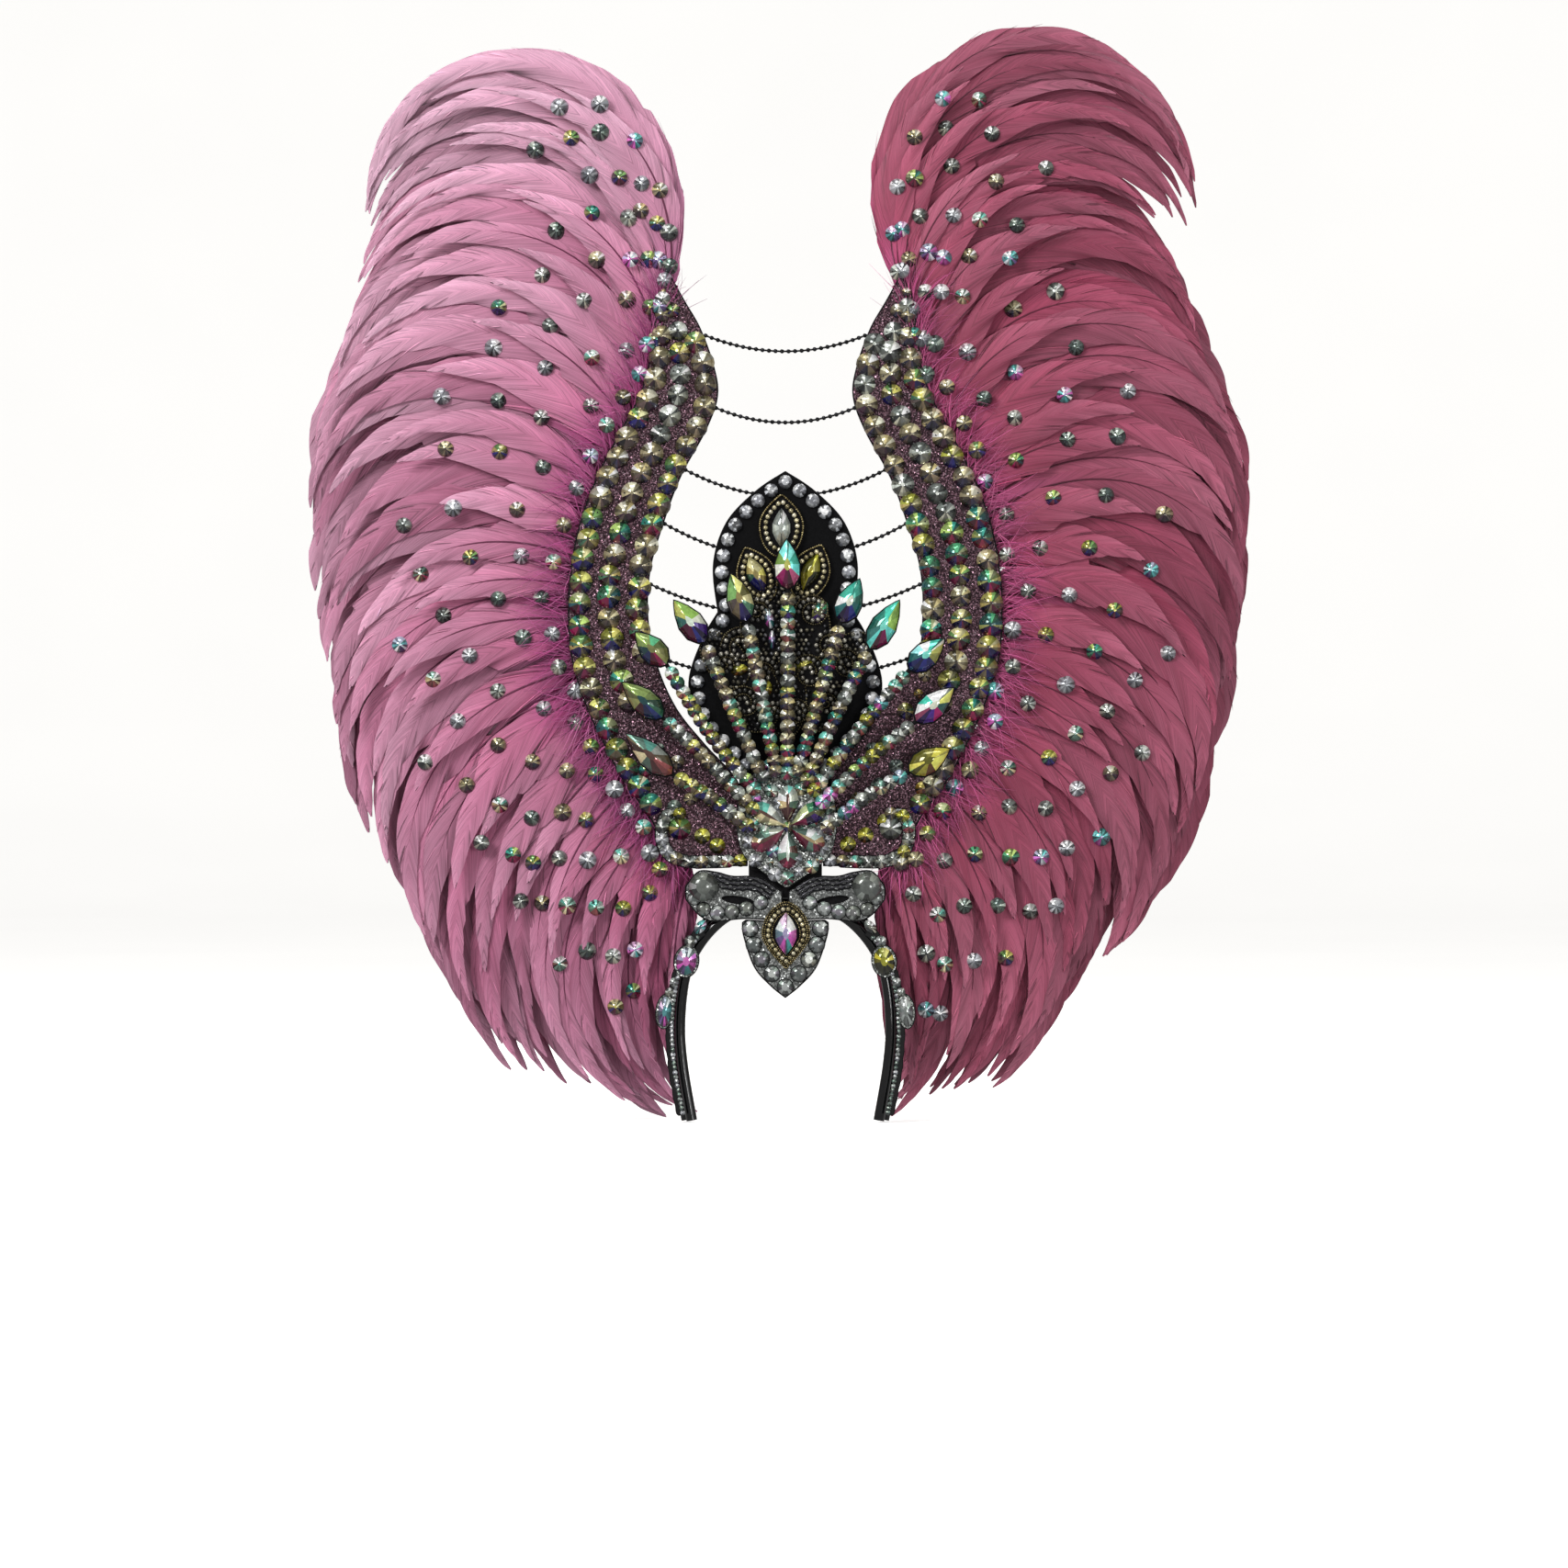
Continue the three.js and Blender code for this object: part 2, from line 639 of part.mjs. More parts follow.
function wingBoard(side) {
  const board = plate(mirrored(boardOutline(side), side), BOARD_BACK, BOARD_THICK);
  const stones = [];
  for (const column of BOARD_COLUMNS) {
    for (let index = 0; index < column.count; index += 1) {
      const share = index / (column.count - 1);
      const height = column.first + (column.last - column.first) * share;
      const inner = boardEdge(height, 'inner');
      const across = inner + (boardEdge(height, 'outer') - inner) * column.share;
      stones.push(roundStone(side * across, height, BOARD_FRONT - SINK, BOARD_STONE));
    }
  }
  return fuse([board, ...stones]);
}

// Scrolls below the boards.
function upperScroll(side) {
  const line = UPPER_SCROLL.map((row) => ({ x: row.x * side, y: row.y }));
  const { width, thick, divisions } = UPPER_SCROLL_BAND;
  const band = strip(line, width, 0, thick, divisions);
  const curve = new THREE.SplineCurve(line.map((row) => flatPoint(row.x, row.y)));
  const stones = [];
  for (let index = 0; index < UPPER_SCROLL_BAND.stones; index += 1) {
    const share = (index + UPPER_SCROLL_BAND.firstStone) / UPPER_SCROLL_BAND.stones;
    const point = curve.getPointAt(share);
    stones.push(roundStone(point.x, point.y, thick - SINK, SCROLL_STONE));
  }
  const curl = roundStone(CURL_STONE.x * side, CURL_STONE.y, 0, CURL_STONE, OVAL_SIDES);
  return fuse([band, ...stones, curl]);
}

function lowerScroll(side) {
  const top = spline(LOWER_SCROLL_TOP.map((row) => flatPoint(row.x, row.y)), 9);
  const bottom = spline(LOWER_SCROLL_BOTTOM.map((row) => flatPoint(row.x, row.y)), 8);
  const outline = mirrored([...top, ...bottom].reverse(), side);
  const body = plate(outline, 0, SCROLL_THICK);
  const slot = { ...SCROLL_SLOT, x: SCROLL_SLOT.x * side, lean: SCROLL_SLOT.lean * side + 90 };
  const place = { x: slot.x, y: slot.y, turn: THREE.MathUtils.degToRad(slot.lean) };
  const half = { wide: slot.wide / 2, long: slot.long / 2 };
  const tool = loft([
    ellipseRing(half, slot.floor, place, OVAL_SIDES),
    ellipseRing(half, SCROLL_THICK + 1, place, OVAL_SIDES),
  ]);
  const stones = LOWER_SCROLL_STONES.map(
    (row) => roundStone(row.x * side, row.y, SCROLL_THICK - SINK, SCROLL_STONE),
  );
  return fuse([cut(body, tool), ...stones]);
}

function scrollStone(side) {
  return domeStone(ROUND_STONE.x * side, ROUND_STONE.y, SCROLL_THICK + GAP, ROUND_STONE);
}

// Forehead drop: pointed shield with stones along its lower edges.
function foreheadDrop() {
  const side = DROP_SIDE.map((row) => flatPoint(row.half, row.height));
  const right = spline(side, 7);
  const left = right.slice(0, -1).map((point) => flatPoint(-point.x, point.y));
  const outline = [...left, ...right.reverse()];
  const body = plate(outline, DROP.front - DROP.thick, DROP.thick);
  const lowest = DROP.point + DROP_EDGE_STONE.above;
  const stones = [roundStone(0, lowest, DROP.front - SINK, DROP_EDGE_STONE)];
  const edge = new THREE.SplineCurve(side);
  for (let index = 0; index < DROP_EDGE_STONE.perSide; index += 1) {
    const span = DROP_EDGE_STONE.perSide + DROP_EDGE_STONE.spare;
    const point = edge.getPointAt((index + DROP_EDGE_STONE.first) / span);
    const x = Math.max(point.x - DROP_EDGE_STONE.inset, 0);
    stones.push(roundStone(x, point.y, DROP.front - SINK, DROP_EDGE_STONE));
    stones.push(roundStone(-x, point.y, DROP.front - SINK, DROP_EDGE_STONE));
  }
  return fuse([body, ...stones]);
}

function dropFrame() {
  const half = { wide: DROP_FRAME.halfWide, long: DROP_FRAME.halfTall };
  const crown = { wide: half.wide * DROP_CROWN.wide, long: half.long * DROP_CROWN.long };
  const back = DROP.front + GAP;
  return loft([
    ellipseRing(half, back, DROP_FRAME, DROP_SIDES),
    ellipseRing(half, back + DROP_FRAME.wall, DROP_FRAME, DROP_SIDES),
    ellipseRing(crown, back + DROP_FRAME.thick, DROP_FRAME, DROP_SIDES),
  ]);
}

// Headband arches and their trims.
function bandLine(offset, setback) {
  const half = BAND_HALF.map((row, index) => {
    const share = index / (BAND_HALF.length - 1);
    const outwards = offset.top + (offset.end - offset.top) * share;
    const depth = BAND_DEPTH - setback.top - (setback.end - setback.top) * share;
    const lean = Math.min(share / BAND_OUTWARDS_FROM, 1) * (Math.PI / 2);
    return new THREE.Vector3(
      row.x + Math.sin(lean) * outwards,
      row.y + Math.cos(lean) * outwards,
      depth,
    );
  });
  const left = half.slice(1).map((point) => new THREE.Vector3(-point.x, point.y, point.z));
  return new THREE.CatmullRomCurve3([...left.reverse(), ...half]);
}

function bandTrim(side) {
  const line = TRIM_LINE.map((row) => ({ x: row.x * side, y: row.y }));
  const base = strip(line, TRIM_WIDTH, 0, TRIM_THICK, TRIM_DIVISIONS);
  const settings = TRIM_STONES.flatMap((stone) => {
    const turn = THREE.MathUtils.degToRad(stone.lean * side);
    const place = { x: stone.x * side, y: stone.y, turn };
    const girdle = { wide: stone.wide / 2, long: stone.long / 2 };
    const rim = { wide: girdle.wide + TRIM_RIM, long: girdle.long + TRIM_RIM };
    const table = { wide: girdle.wide * TABLE.wide, long: girdle.long * TABLE.long };
    const disc = loft([
      ellipseRing(rim, 0, place, OVAL_SIDES),
      ellipseRing(rim, TRIM_THICK, place, OVAL_SIDES),
    ]);
    const cutStone = loft([
      ellipseRing(girdle, TRIM_THICK - SINK, place, STONE_SIDES),
      ellipseRing(table, TRIM_THICK + TRIM_STONE_RISE, place, STONE_SIDES),
    ]);
    return [disc, cutStone];
  });
  return fuse([base, ...settings]);
}

// A chain hangs between the boards in a parabola.
function chain(row) {
  const line = new THREE.QuadraticBezierCurve3(
    new THREE.Vector3(-row.half, row.height, CHAIN_DEPTH),
    new THREE.Vector3(0, row.height - 2 * row.sag, CHAIN_DEPTH),
    new THREE.Vector3(row.half, row.height, CHAIN_DEPTH),
  );
  return tube(line, CHAIN_RADIUS, CHAIN_SIDES, Math.round((2 * row.half) / CHAIN_STEP));
}

function mountingBlock() {
  const outline = [
    flatPoint(-BLOCK.half, BLOCK.bottom),
    flatPoint(BLOCK.half, BLOCK.bottom),
    flatPoint(BLOCK.half, BLOCK.top),
    flatPoint(-BLOCK.half, BLOCK.top),
  ];
  return plate(outline, -GAP - BLOCK.depth, BLOCK.depth);
}

// Feather fans.
function guideAt(guides, place) {
  const row = Math.min(Math.floor(place), guides.length - 2);
  const share = place - row;
  const mix = (key) => guides[row][key] + (guides[row + 1][key] - guides[row][key]) * share;
  return {
    root: mix('root'),
    start: mix('start'),
    turn: mix('turn'),
    length: mix('length'),
    width: mix('width'),
  };
}

function bladeWidth(share, widest) {
  const rise = Math.min(share / BLADE.widestAt, 1);
  const fall = Math.max((share - BLADE.widestAt) / (1 - BLADE.widestAt), 0);
  const swell = BLADE.rootWidth + (widest - BLADE.rootWidth) * Math.sin((rise * Math.PI) / 2);
  return swell + (BLADE.tipWidth - widest) * fall ** BLADE.taper;
}

function quillHeading(guide, share) {
  return THREE.MathUtils.degToRad(guide.start + guide.turn * share ** CURL_POWER);
}

// Places along a quill with the direction across it, worked out in short strides.
function quill(guide, scale) {
  const strides = STRIDES_PER_SEGMENT * BLADE_SEGMENTS;
  const stride = (guide.length * scale.length) / strides;
  const edge = boardEdge(guide.root, 'outer') - FEATHER_BAR.inset - FEATHER_BAR.width / 2;
  const point = flatPoint(edge, guide.root);
  const rows = [];
  for (let step = 0; step <= strides; step += 1) {
    if (step % STRIDES_PER_SEGMENT === 0) {
      const heading = quillHeading(guide, (step / strides) * scale.length);
      const across = flatPoint(-Math.sin(heading), Math.cos(heading));
      rows.push({ point: point.clone(), across, share: step / strides });
    }
    const course = quillHeading(guide, ((step + 0.5) / strides) * scale.length);
    point.x += Math.cos(course) * stride;
    point.y += Math.sin(course) * stride;
  }
  return rows;
}

function blade(guide, layer, side, scale) {
  const rows = quill(guide, scale);
  const root = rows[0].point;
  const towardsTip = rows[BLADE_SEGMENTS].point.clone().sub(root).normalize();
  const rootDepth = FEATHER_BAR.front - FAN_LAYER.first - layer * FAN_LAYER.pitch;
  const slope = FAN_LEAN.first + layer * FAN_LEAN.step;
  const rings = rows.map(({ point, across, share }) => {
    const half = bladeWidth(share, guide.width * scale.width) / 2;
    const thick = (BLADE.thick / 2) * (1 - BLADE.tipThin * share);
    const corner = (offset, lift) => {
      const place = across.clone().multiplyScalar(offset).add(point);
      const back = slope * towardsTip.dot(place.clone().sub(root));
      return new THREE.Vector3(side * place.x, place.y, rootDepth - back + lift);
    };
    const ring = [corner(-half, -thick), corner(0, thick), corner(half, -thick)];
    return side > 0 ? ring.reverse() : ring;
  });
  return loft(rings);
}

function featherBar(top, bottom, side) {
  const count = Math.ceil((top - bottom) / FEATHER_BAR.stretch);
  const outer = [];
  const inner = [];
  for (let index = 0; index <= count; index += 1) {
    const height = top + ((bottom - top) * index) / count;
    const edge = boardEdge(height, 'outer') - FEATHER_BAR.inset;
    outer.push(flatPoint(edge, height));
    inner.push(flatPoint(edge - FEATHER_BAR.width, height));
  }
  const outline = mirrored([...outer.reverse(), ...inner], side).reverse();
  return plate(outline, FEATHER_BAR.front - FEATHER_BAR.depth, FEATHER_BAR.depth);
}

// Height of the joint between two sections, midway between the roots on either side of it.
function sectionEnd(guides, upper, lower) {
  return guideAt(guides, (upper + lower) / 2).root;
}

function fanSection(guides, section, side) {
  const { first, layers, short } = FAN_SECTIONS[section];
  const last = first + layers.length - 1;
  const isTop = first === 0;
  const isBottom = last === guides.length - 1;
  const top = isTop ? guides[0].root + FAN_END.above : sectionEnd(guides, first - 1, first);
  const bottom = isBottom ? guides[last].root - FAN_END.below : sectionEnd(guides, last, last + 1);
  const feathers = [];
  layers.forEach((layer, index) => {
    feathers.push(blade(guides[first + index], layer, side, { length: 1, width: 1 }));
  });
  for (const [place, layer] of short) {
    feathers.push(blade(guideAt(guides, place), layer, side, SHORT_BLADE));
  }
  return fuse([featherBar(top - GAP / 2, bottom + GAP / 2, side), ...feathers]);
}

// Assembly.
const upright = new THREE.Group();
upright.rotation.x = Math.PI / 2;

function place(name, geometry, material) {
  const mesh = new THREE.Mesh(geometry, FINISHES[material]);
  mesh.name = name;
  upright.add(mesh);
}

const frontLine = bandLine(FRONT_BAND, FRONT_BAND);
const rearLine = bandLine(REAR_BAND_OFFSET, REAR_BAND_SETBACK);
place('headband_front', tube(frontLine, BAND_RADIUS, BAND_SIDES, BAND_STEPS), 'patent');
place('headband_rear', tube(rearLine, BAND_RADIUS, BAND_SIDES, BAND_STEPS), 'patent');
place('mounting_block', mountingBlock(), 'velvet');
place('centre_panel', centrePanel(), 'velvet');
place('applique', applique(), 'gold');
APPLIQUE_STONES.forEach((stone) => place(stone.name, appliqueStone(stone), 'crystal'));
RAYS.forEach((row, index) => place(`ray_${index + 1}`, ray(row), 'crystal'));
place('hub_plate', hubPlate(), 'silver');
for (let index = 0; index < FLOWER.count; index += 1) {
  place(`flower_stone_${index + 1}`, flowerStone(index), 'crystal');
}
const flowerCentre = roundStone(HUB_CENTRE.x, HUB_CENTRE.y, HUB_FRONT + GAP, FLOWER_CENTRE);
place('flower_centre', flowerCentre, 'crystal');
place('forehead_drop', foreheadDrop(), 'grey');
place('drop_applique', dropFrame(), 'gold');
const dropStoneBack = DROP.front + GAP + DROP_FRAME.thick + GAP;
place('drop_stone', ovalStone(DROP_STONE, dropStoneBack, DROP_STONE.rise, DROP_SIDES), 'crystal');
CHAINS.forEach((row, index) => place(`chain_${index + 1}`, chain(row), 'jet'));

const SIDES = [
  { word: 'left', side: -1, guides: GUIDES_LEFT },
  { word: 'right', side: 1, guides: GUIDES_RIGHT },
];
for (const { word, side, guides } of SIDES) {
  place(`wing_board_${word}`, wingBoard(side), 'glitter');
  place(`upper_scroll_${word}`, upperScroll(side), 'crystal');
  place(`lower_scroll_${word}`, lowerScroll(side), 'grey');
  place(`scroll_stone_${word}`, scrollStone(side), 'silver');
  place(`band_trim_${word}`, bandTrim(side), 'grey');
  for (let section = 0; section < FAN_SECTIONS.length; section += 1) {
    place(`feathers_${word}_${section + 1}`, fanSection(guides, section, side), 'feather');
  }
}

const headdress = new THREE.Group();
headdress.add(upright);

export default headdress;
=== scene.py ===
"""Carnival feather headdress: the looks of every piece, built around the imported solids.

Shapes are drawn as seen from the front, in millimetres: x to the right, y up and depth
towards the viewer, with depth 0 at the back of the velvet panel and the origin at the
crown seat. They reach the scene in metres, with the front facing -Y and +Z up.
"""

import logging
import math
from collections.abc import Callable, Sequence
from dataclasses import dataclass, field
from enum import Enum
from typing import ClassVar, NamedTuple

import bpy
import numpy as np
from bpy.types import Material, Node, NodeSocket, Object
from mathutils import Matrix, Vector
from mathutils.bvhtree import BVHTree

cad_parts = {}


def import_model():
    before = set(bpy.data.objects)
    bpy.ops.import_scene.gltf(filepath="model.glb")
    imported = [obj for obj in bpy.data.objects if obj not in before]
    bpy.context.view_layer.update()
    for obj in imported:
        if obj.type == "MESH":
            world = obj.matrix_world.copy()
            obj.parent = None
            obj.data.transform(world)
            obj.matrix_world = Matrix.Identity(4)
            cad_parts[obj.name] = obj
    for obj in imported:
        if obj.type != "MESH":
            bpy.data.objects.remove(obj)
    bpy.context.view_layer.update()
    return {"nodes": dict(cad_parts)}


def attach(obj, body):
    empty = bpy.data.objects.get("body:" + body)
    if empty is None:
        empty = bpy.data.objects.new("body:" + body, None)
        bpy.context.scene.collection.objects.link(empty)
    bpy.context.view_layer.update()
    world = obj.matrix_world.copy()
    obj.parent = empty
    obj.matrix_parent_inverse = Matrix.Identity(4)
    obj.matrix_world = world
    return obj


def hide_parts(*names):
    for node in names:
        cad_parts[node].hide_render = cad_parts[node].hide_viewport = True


LOG = logging.getLogger("headdress")
MM = 0.001
GAP = 0.3
SHEET_EDGE = math.radians(130)

Array = np.ndarray
Spot = tuple[float, float]
Rows = tuple[tuple[float, ...], ...]
Rgb = tuple[float, float, float]


class Side(Enum):
    """A half of the headdress, named as it lies in the front view."""

    LEFT = -1
    RIGHT = 1

    @property
    def word(self) -> str:
        """The word that the half's node names carry."""
        return self.name.lower()


@dataclass(frozen=True)
class Glints:
    """Painted glint and reflection colours for a stone's facets, by where they face, in 0 to 255."""

    upper: tuple[Rgb, ...]
    side: tuple[Rgb, ...]
    lower: tuple[Rgb, ...]


class Mood(Enum):
    """Painted glints and reflections of a foiled stone: the colours of its upper, side and lower facets."""

    CHAMPAGNE = Glints(
        ((214, 204, 164), (120, 112, 84), (168, 156, 112), (236, 232, 208)),
        ((98, 88, 70), (150, 140, 112), (70, 62, 52), (120, 110, 84)),
        ((74, 60, 58), (52, 30, 44), (112, 98, 80), (44, 40, 58)),
    )
    AURORA = Glints(
        ((214, 208, 112), (138, 140, 58), (196, 190, 140), (98, 136, 78)),
        ((98, 90, 62), (58, 92, 72), (148, 134, 82), (76, 66, 64)),
        ((26, 26, 84), (84, 22, 50), (38, 30, 84), (92, 80, 62)),
    )
    GARDEN = Glints(
        ((78, 156, 112), (160, 188, 104), (50, 128, 114), (200, 212, 158)),
        ((48, 94, 72), (122, 124, 74), (28, 70, 74), (84, 84, 60)),
        ((110, 18, 58), (48, 24, 84), (104, 34, 52), (28, 38, 84)),
    )
    PEACOCK = Glints(
        ((128, 228, 210), (58, 158, 138), (226, 240, 222), (152, 196, 92)),
        ((92, 188, 180), (190, 192, 100), (34, 84, 84), (232, 236, 216)),
        ((124, 18, 78), (56, 28, 104), (30, 34, 96), (156, 70, 104)),
    )
    CLEAR = Glints(
        ((232, 236, 228), (132, 138, 134), (198, 204, 194), (92, 98, 94)),
        ((82, 86, 82), (168, 174, 166), (52, 56, 54), (118, 120, 110)),
        ((66, 68, 66), (128, 130, 124), (38, 40, 42), (150, 148, 134)),
    )
    ICE = Glints(
        ((208, 232, 234), (110, 196, 190), (236, 190, 228), (166, 178, 196)),
        ((208, 110, 186), (84, 146, 150), (170, 160, 196), (74, 92, 104)),
        ((160, 70, 140), (62, 124, 124), (204, 212, 218), (84, 66, 108)),
    )
    SMOKE = Glints(
        ((128, 144, 136), (72, 86, 82), (98, 120, 108), (168, 180, 168)),
        ((58, 70, 68), (92, 106, 96), (42, 50, 50), (72, 80, 74)),
        ((44, 50, 54), (72, 80, 80), (52, 62, 58), (88, 96, 90)),
    )
    LEMON = Glints(
        ((220, 212, 84), (156, 154, 48), (210, 208, 122), (116, 120, 42)),
        ((96, 94, 24), (170, 160, 48), (64, 66, 26), (206, 196, 92)),
        ((70, 62, 24), (40, 40, 28), (122, 116, 40), (92, 58, 26)),
    )
    AMBER = Glints(
        ((190, 160, 56), (120, 96, 30), (206, 190, 104), (96, 84, 30)),
        ((84, 64, 26), (140, 112, 46), (52, 42, 24), (110, 84, 40)),
        ((60, 34, 22), (44, 30, 28), (104, 60, 30), (70, 26, 28)),
    )
    OPAL = Glints(
        ((208, 232, 220), (112, 196, 178), (228, 238, 226), (120, 160, 144)),
        ((170, 150, 112), (84, 112, 96), (214, 220, 202), (92, 64, 56)),
        ((120, 62, 62), (112, 34, 60), (88, 112, 100), (190, 178, 140)),
    )
    STEEL = Glints(
        ((216, 218, 220), (176, 178, 182), (236, 238, 238), (146, 148, 154)),
        ((130, 132, 138), (176, 178, 182), (104, 106, 112), (154, 156, 160)),
        ((96, 98, 104), (140, 142, 146), (78, 80, 86), (158, 160, 164)),
    )
    MIST = Glints(
        ((118, 122, 114), (106, 110, 103), (128, 132, 124), (112, 118, 110)),
        ((100, 104, 99), (112, 116, 110), (92, 96, 92), (106, 106, 106)),
        ((84, 88, 85), (98, 102, 98), (76, 80, 78), (104, 108, 104)),
    )
    FROST = Glints(
        ((166, 170, 168), (130, 136, 132), (186, 190, 186), (142, 154, 146)),
        ((104, 108, 108), (134, 136, 136), (92, 98, 96), (124, 120, 128)),
        ((86, 90, 90), (110, 114, 112), (76, 82, 82), (126, 130, 128)),
    )


def linear(colour: Sequence[float] | Array) -> Array:
    """Turn screen colours of 0 to 255 into the linear values that shaders read."""
    share = np.clip(np.asarray(colour, float) / 255.0, 0.0, 1.0)
    return np.where(share <= 0.04045, share / 12.92, ((share + 0.055) / 1.055) ** 2.4)


def to_world(points: Array | Sequence[Sequence[float]]) -> Array:
    """Turn rows of x, y and depth in millimetres into the scene's metres."""
    points = np.asarray(points, float)
    return np.stack([points[:, 0], -points[:, 2], points[:, 1]], axis=1) * MM


def raised(spots: Array, depth: float | Array) -> Array:
    """Give flat places a depth, or each its own."""
    return np.column_stack([spots, np.broadcast_to(depth, (len(spots),))])


def smooth_line(rows: Sequence[Sequence[float]], count: int) -> Array:
    """Draw a smooth line through the given points.

    Args:
        rows: The points, in two or three dimensions.
        count: How many steps the line has.

    Returns:
        The points along it.
    """
    points = np.asarray(rows, float)
    place = np.linspace(0, len(points) - 1, count + 1)
    first = np.minimum(place.astype(int), len(points) - 2)
    share = (place - first)[:, None]
    before = points[np.maximum(first - 1, 0)]
    start, end = points[first], points[first + 1]
    after = points[np.minimum(first + 2, len(points) - 1)]
    return 0.5 * (
        2 * start
        + (end - before) * share
        + (2 * before - 5 * start + 4 * end - after) * share**2
        + (3 * start - before - 3 * end + after) * share**3
    )


def even_places(line: Array, pitch: float, closed: bool = False) -> Array:
    """Space points evenly along a line.

    Args:
        line: Points of the line.
        pitch: Wanted distance between neighbours.
        closed: Whether the line returns to its start.

    Returns:
        The spaced points, both ends included on an open line.
    """
    loop = np.vstack([line, line[:1]]) if closed else line
    reach = np.concatenate([[0], np.cumsum(np.linalg.norm(np.diff(loop, axis=0), axis=1))])
    count = max(int(round(reach[-1] / pitch)), 1)
    places = np.linspace(0, reach[-1], count + 1)
    places = places[:-1] if closed else places
    return np.stack([np.interp(places, reach, loop[:, axis]) for axis in range(loop.shape[1])], 1)


def inset_line(line: Array, inset: float) -> Array:
    """Move an outline sideways by a set distance.

    Args:
        line: Outline points, anticlockwise for a positive inset to go inwards.
        inset: How far to move.

    Returns:
        The moved points.
    """
    along = np.gradient(line, axis=0)
    along /= np.maximum(np.linalg.norm(along, axis=1, keepdims=True), 1e-9)
    return line + np.stack([-along[:, 1], along[:, 0]], 1) * inset


@dataclass(frozen=True)
class Shape:
    """A unit shape that a pile copies: points, triangles and the way each triangle faces."""

    points: Array
    faces: Array
    facing: Array


class Bench:
    """The modelling bench: the few operator steps that every hand-made piece starts from."""

    @staticmethod
    def clear() -> None:
        """Deselect everything, as each new piece needs."""
        for piece in bpy.context.selected_objects:
            piece.select_set(False)

    @staticmethod
    def start(operator: Callable[..., object], **settings: object) -> Object:
        """Add a primitive with nothing else selected.

        Args:
            operator: The operator that adds it.
            settings: The operator's settings.

        Returns:
            The new object.
        """
        Bench.clear()
        operator(**settings)
        return bpy.context.object

    @staticmethod
    def edit(*steps: Callable[[], object]) -> None:
        """Run operator steps in edit mode on the active object.

        Args:
            steps: Operator calls, run in order.
        """
        bpy.ops.object.mode_set(mode="EDIT")
        for step in steps:
            step()
        bpy.ops.object.mode_set(mode="OBJECT")

    @staticmethod
    def apply(piece: Object) -> None:
        """Apply every modifier of a piece, in order."""
        bpy.context.view_layer.objects.active = piece
        for modifier in list(piece.modifiers):
            bpy.ops.object.modifier_apply(modifier=modifier.name)

    @staticmethod
    def join(name: str, parts: Sequence[Object]) -> Object:
        """Join parts into one piece.

        Args:
            name: The piece's name.
            parts: The parts, the first of which keeps its data.

        Returns:
            The joined object.
        """
        Bench.clear()
        for part in parts:
            part.select_set(True)
        bpy.context.view_layer.objects.active = parts[0]
        if len(parts) > 1:
            bpy.ops.object.join()
        piece = bpy.context.view_layer.objects.active
        piece.name = name
        piece.data.name = name
        piece.select_set(False)
        return piece


